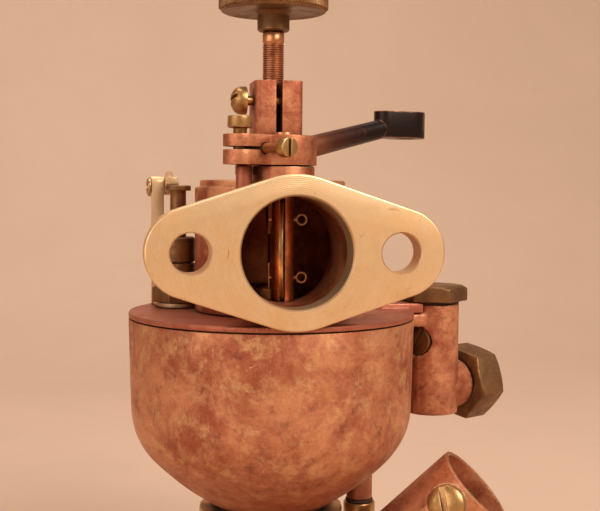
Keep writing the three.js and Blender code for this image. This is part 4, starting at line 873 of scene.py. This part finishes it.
class MakeNeedle(Operator):
    """Post, threaded spindle and knurled knob of the fuel needle"""

    bl_idname = "carburetor.needle"
    bl_label = "Fuel Needle"

    def execute(self, context):
        size = sizes()
        worn_copy("needle_post", finish_of("cast_copper"), "carburetor_body", size.cast_edge)
        worn_copy("post_pinch_screw", finish_of("bright_brass"), "carburetor_body", size.edge)
        spindle = place(lathe(self.spindle(size), 48, closed=False),
                        at=(0, NEEDLE_Y, COVER_Z))
        finish_piece(to_object(spindle, "needle_spindle_threaded"), finish_of("turned_copper"),
                     "needle", "needle_spindle", slot="spindle_copper", crease=50.0)
        knob = self.knob(size)
        finish_piece(to_object(knob, "knurled_knob_turned"), finish_of("knob_brass"), "knob",
                     "knurled_knob", slot="aged_brass", crease=24.0)
        worn_copy("knob_screw", finish_of("bright_brass"), "knob", size.edge)
        return {"FINISHED"}

    @staticmethod
    def spindle(size):
        """Needle, stem and the spindle's thread up to its plain neck."""
        thread = []
        pitch, deep = size.thread_pitch / MM, size.thread_depth / MM
        z = 66.6
        while z + pitch < 99.0:
            thread += [(3.95, z + 0.18 * pitch), (3.95, z + 0.38 * pitch),
                       (3.95 - deep, z + 0.72 * pitch), (3.95 - deep, z + 0.84 * pitch)]
            z += pitch
        lower = [(0, 7), (0.6, 7), (1.6, 14), (1.6, 31.9), (2.5, 33.9), (2.5, 65), (3.5, 66.2)]
        upper = [(3.9, z + 0.4), (3.95, z + 0.7), (3.95, 102.6), (3.5, 103.1), (2.5, 103.1),
                 (2.5, 117), (0, 117)]
        return lower + thread + upper

    @staticmethod
    def knob(size):
        """A turned disc whose rim is pushed in between the ridges of its knurling."""
        base = 103.4
        low, high = base + 6.8, base + 15.4
        profile = [
            (2.8, base), (5.3, base), (5.85, base + 0.5), (5.85, low - 1.0), (6.4, low - 0.3),
            (7.0, low + 0.2), (16.4, low + 0.2), (16.9, low), (18.4, low), (18.9, low + 0.25),
            (19.5, low + 1.15), (19.9, low + 1.3), (19.9, high - 1.3), (19.5, high - 1.15),
            (18.8, high - 0.2), (18.2, high), (8.5, high), (8.0, high - 0.6), (2.8, high - 0.6)]
        steps = size.knurls * 2
        bm = lathe(profile, steps)
        for vert in bm.verts:
            reach = math.hypot(vert.co.x, vert.co.y)
            step = round(math.atan2(vert.co.y, vert.co.x) / math.tau * steps)
            if reach > 19.4 * MM and step % 2:
                vert.co.x *= 1 - size.knurl_depth / reach
                vert.co.y *= 1 - size.knurl_depth / reach
        return place(bm, at=(0, NEEDLE_Y, COVER_Z))


class MakeThrottle(Operator):
    """Shaft, disc, split pins and lever of the throttle, with its screws"""

    bl_idname = "carburetor.throttle"
    bl_label = "Throttle"

    def execute(self, context):
        size = sizes()
        brass = finish_of("bright_brass")
        worn_copy("throttle_shaft", finish_of("turned_copper"), "throttle", 0.25 * MM)
        worn_copy("throttle_disc", finish_of("dull_brass"), "throttle", 0.2 * MM)
        for node in ("split_pin_upper", "split_pin_lower"):
            dress(node, "bright_brass")
        worn_copy("throttle_lever", finish_of("lever_copper"), "throttle", size.cast_edge)
        worn_copy("lever_pinch_screw", brass, "throttle", size.edge)
        worn_copy("stop_screw", brass, "throttle", size.edge)
        return {"FINISHED"}


class MakeFuelInlet(Operator):
    """Hexagon cap, channel plug and union nut on the fuel column"""

    bl_idname = "carburetor.fuel_inlet"
    bl_label = "Fuel Inlet"

    def execute(self, context):
        size = sizes()
        body = "carburetor_body"
        worn_copy("fuel_chamber_cap", finish_of("old_brass"), body, size.edge)
        worn_copy("union_nut", finish_of("old_brass"), body, size.edge)
        worn_copy("inlet_fitting", finish_of("dull_brass"), body, 0.3 * MM)
        worn_copy("channel_plug", finish_of("old_brass"), body, 0.25 * MM)
        dress("cap_gasket", "gasket_fibre")
        return {"FINISHED"}


class MakeAirHorn(Operator):
    """Bent air horn with its choke disc, shaft, slotted head and lever"""

    bl_idname = "carburetor.air_horn"
    bl_label = "Air Horn"

    def execute(self, context):
        size = sizes()
        worn_copy("air_horn", finish_of("horn_copper"), "carburetor_body", 0.4 * MM, crease=36.0)
        brass = finish_of("bright_brass")
        worn_copy("choke_shaft", brass, "choke", size.edge)
        worn_copy("choke_disc", finish_of("dull_brass"), "choke", 0.2 * MM)
        worn_copy("choke_lever", finish_of("dull_brass"), "choke", size.edge)
        worn_copy("choke_lever_nut", brass, "choke", 0.25 * MM)
        for node in ("choke_screw_1", "choke_screw_2"):
            worn_copy(node, brass, "choke", 0.15 * MM)
        return {"FINISHED"}


class MakeTickler(Operator):
    """Plunger, spring, sleeve and lever that wet the float for a cold start"""

    bl_idname = "carburetor.tickler"
    bl_label = "Tickler"

    def execute(self, context):
        size = sizes()
        body = "carburetor_body"
        worn_copy("tickler_body", finish_of("old_brass"), body, size.edge)
        worn_copy("tickler_sleeve", finish_of("old_brass"), body, 0.2 * MM)
        worn_copy("tickler_plunger", finish_of("old_brass"), "plunger", 0.3 * MM)
        worn_copy("tickler_bracket", finish_of("pale_brass"), body, size.edge)
        worn_copy("tickler_pivot_screw", finish_of("bright_brass"), body, 0.25 * MM)
        worn_copy("tickler_lever", finish_of("pale_brass"), "tickle_lever", size.edge)
        dress("tickler_spring", "steel_grey")
        return {"FINISHED"}


class MakeInnerParts(Operator):
    """Float and its valve, venturi and nozzle, and the fittings under the bowl"""

    bl_idname = "carburetor.inner_parts"
    bl_label = "Inner Parts"

    def execute(self, context):
        size = sizes()
        body = "carburetor_body"
        worn_copy("venturi_tube", finish_of("dull_brass"), body, 0.3 * MM)
        worn_copy("clamp_ring", finish_of("bright_brass"), body, size.edge)
        worn_copy("drain_plug", finish_of("bright_brass"), body, size.edge)
        worn_copy("float", finish_of("cork_brown"), "float_and_arm", 0.6 * MM)
        for node, finish in (("float_arm", "dull_brass"), ("spray_nozzle", "dull_brass"),
                             ("valve_seat", "bright_brass"), ("float_needle", "steel_grey"),
                             ("float_pivot_pin", "steel_grey"), ("bowl_gasket", "gasket_fibre"),
                             ("bowl_seal", "gasket_fibre"), ("drain_washer", "gasket_fibre")):
            dress(node, finish)
        return {"FINISHED"}


class MakeStage(Operator):
    """Pale floor, soft studio lights and the camera"""

    bl_idname = "carburetor.stage"
    bl_label = "Stage"

    def execute(self, context):
        scene = context.scene
        self.floor()
        self.light("key", (0.55, -0.75, 0.75), 0.8, 15.5, (1.0, 0.95, 0.90))
        self.light("fill", (-0.9, -0.6, 0.25), 1.1, 5.5, (1.0, 0.94, 0.90))
        self.light("top", (-0.1, 0.35, 1.1), 0.9, 7.0, (1.0, 0.95, 0.91))
        world = bpy.data.worlds.new("studio")
        world.use_nodes = True
        sky = world.node_tree.nodes["Background"]
        sky.inputs["Color"].default_value = shade(228, 206, 186)
        sky.inputs["Strength"].default_value = 0.62
        scene.world = world
        scene.view_settings.view_transform = "Standard"
        scene.view_settings.look = "None"
        self.camera(scene)
        return {"FINISHED"}

    @staticmethod
    def floor():
        """A floor that sweeps up into a backdrop well behind the carburetor."""
        half, back, sweep, wall = 3.0, 0.55, 0.6, 2.0
        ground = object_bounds()[0].z
        bm = bmesh.new()
        front = [bm.verts.new((-half, y, ground)) for y in (-half, back)]
        bm.edges.new(front)
        curve = bmesh.ops.spin(bm, geom=[front[1]], cent=(-half, back, ground + sweep),
                               axis=(1, 0, 0), angle=math.radians(90), steps=24)
        last = next(g for g in curve["geom_last"] if isinstance(g, bmesh.types.BMVert))
        top = bm.verts.new(last.co + Vector((0, 0, wall)))
        bm.edges.new((last, top))
        bmesh.ops.remove_doubles(bm, verts=bm.verts, dist=1e-6)
        wide = bmesh.ops.extrude_edge_only(bm, edges=bm.edges[:])
        moved = [g for g in wide["geom"] if isinstance(g, bmesh.types.BMVert)]
        bmesh.ops.translate(bm, vec=(2 * half, 0, 0), verts=moved)
        bmesh.ops.recalc_face_normals(bm, faces=bm.faces)
        made = to_object(bm, "floor")
        made.data.polygons.foreach_set("use_smooth", [True] * len(made.data.polygons))
        paint = Finish("floor_paint", 0.0)
        tone = tuple(colours().floor)
        shaded = tuple(channel * 0.94 for channel in tone[:3]) + (1.0,)
        paint.tarnish(tone, shaded, shaded, 3.0, 0.0, -0.2, 0.02).roughness(0.7, 0.8)
        made.data.materials.append(paint.done())
        made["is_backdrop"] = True

    @staticmethod
    def light(name, at, size, power, tint):
        lamp = bpy.data.lights.new(name, "AREA")
        lamp.shape = "DISK"
        lamp.size = size
        lamp.energy = power
        lamp.color = tint
        made = bpy.data.objects.new(name, lamp)
        made.location = at
        aim = Vector((0.01, 0.03, -0.03)) - Vector(at)
        made.rotation_euler = aim.to_track_quat("-Z", "Y").to_euler()
        made.visible_camera = False
        bpy.context.scene.collection.objects.link(made)

    @staticmethod
    def camera(scene):
        data = bpy.data.cameras.new("camera")
        data.lens = 65.5
        data.sensor_width = 36.0
        data.clip_start = 0.01
        made = bpy.data.objects.new("camera", data)
        yaw, pitch, roll = (math.radians(a) for a in (10.26, 3.43, 0.43))
        forward = Vector((math.sin(yaw) * math.cos(pitch), math.cos(yaw) * math.cos(pitch),
                          -math.sin(pitch)))
        turn = forward.to_track_quat("-Z", "Y").to_matrix() @ Matrix.Rotation(roll, 3, "Z")
        made.matrix_world = Matrix.Translation((-0.06124, -0.34129, 0.02018)) @ turn.to_4x4()
        scene.collection.objects.link(made)
        scene.camera = made


OPERATORS = (
    MakeStage, MakeMixingChamber, MakeFuelBowl, MakeBowlCover, MakeNeedle, MakeThrottle,
    MakeFuelInlet, MakeAirHorn, MakeTickler, MakeInnerParts,
)


class CarburetorPanel(Panel):
    """Lists the pieces of the carburetor in the order they are made"""

    bl_idname = "VIEW3D_PT_carburetor"
    bl_label = "Carburetor"
    bl_space_type = "VIEW_3D"
    bl_region_type = "UI"
    bl_category = "Carburetor"

    def draw(self, context):
        layout = self.layout
        for group in (context.scene.carburetor_sizes, context.scene.carburetor_colours):
            box = layout.box()
            for name in type(group).__annotations__:
                box.prop(group, name)
        for operator in OPERATORS:
            layout.operator(operator.bl_idname)


CLASSES = (CarburetorSizes, CarburetorColours, *OPERATORS, CarburetorPanel)


def register():
    for cls in CLASSES:
        bpy.utils.register_class(cls)
    bpy.types.Scene.carburetor_sizes = PointerProperty(type=CarburetorSizes)
    bpy.types.Scene.carburetor_colours = PointerProperty(type=CarburetorColours)


def unregister():
    del bpy.types.Scene.carburetor_colours
    del bpy.types.Scene.carburetor_sizes
    for cls in reversed(CLASSES):
        bpy.utils.unregister_class(cls)


def main():
    register()
    for operator in OPERATORS:
        category, name = operator.bl_idname.split(".")
        getattr(getattr(bpy.ops, category), name)()


if __name__ == "__main__":
    main()
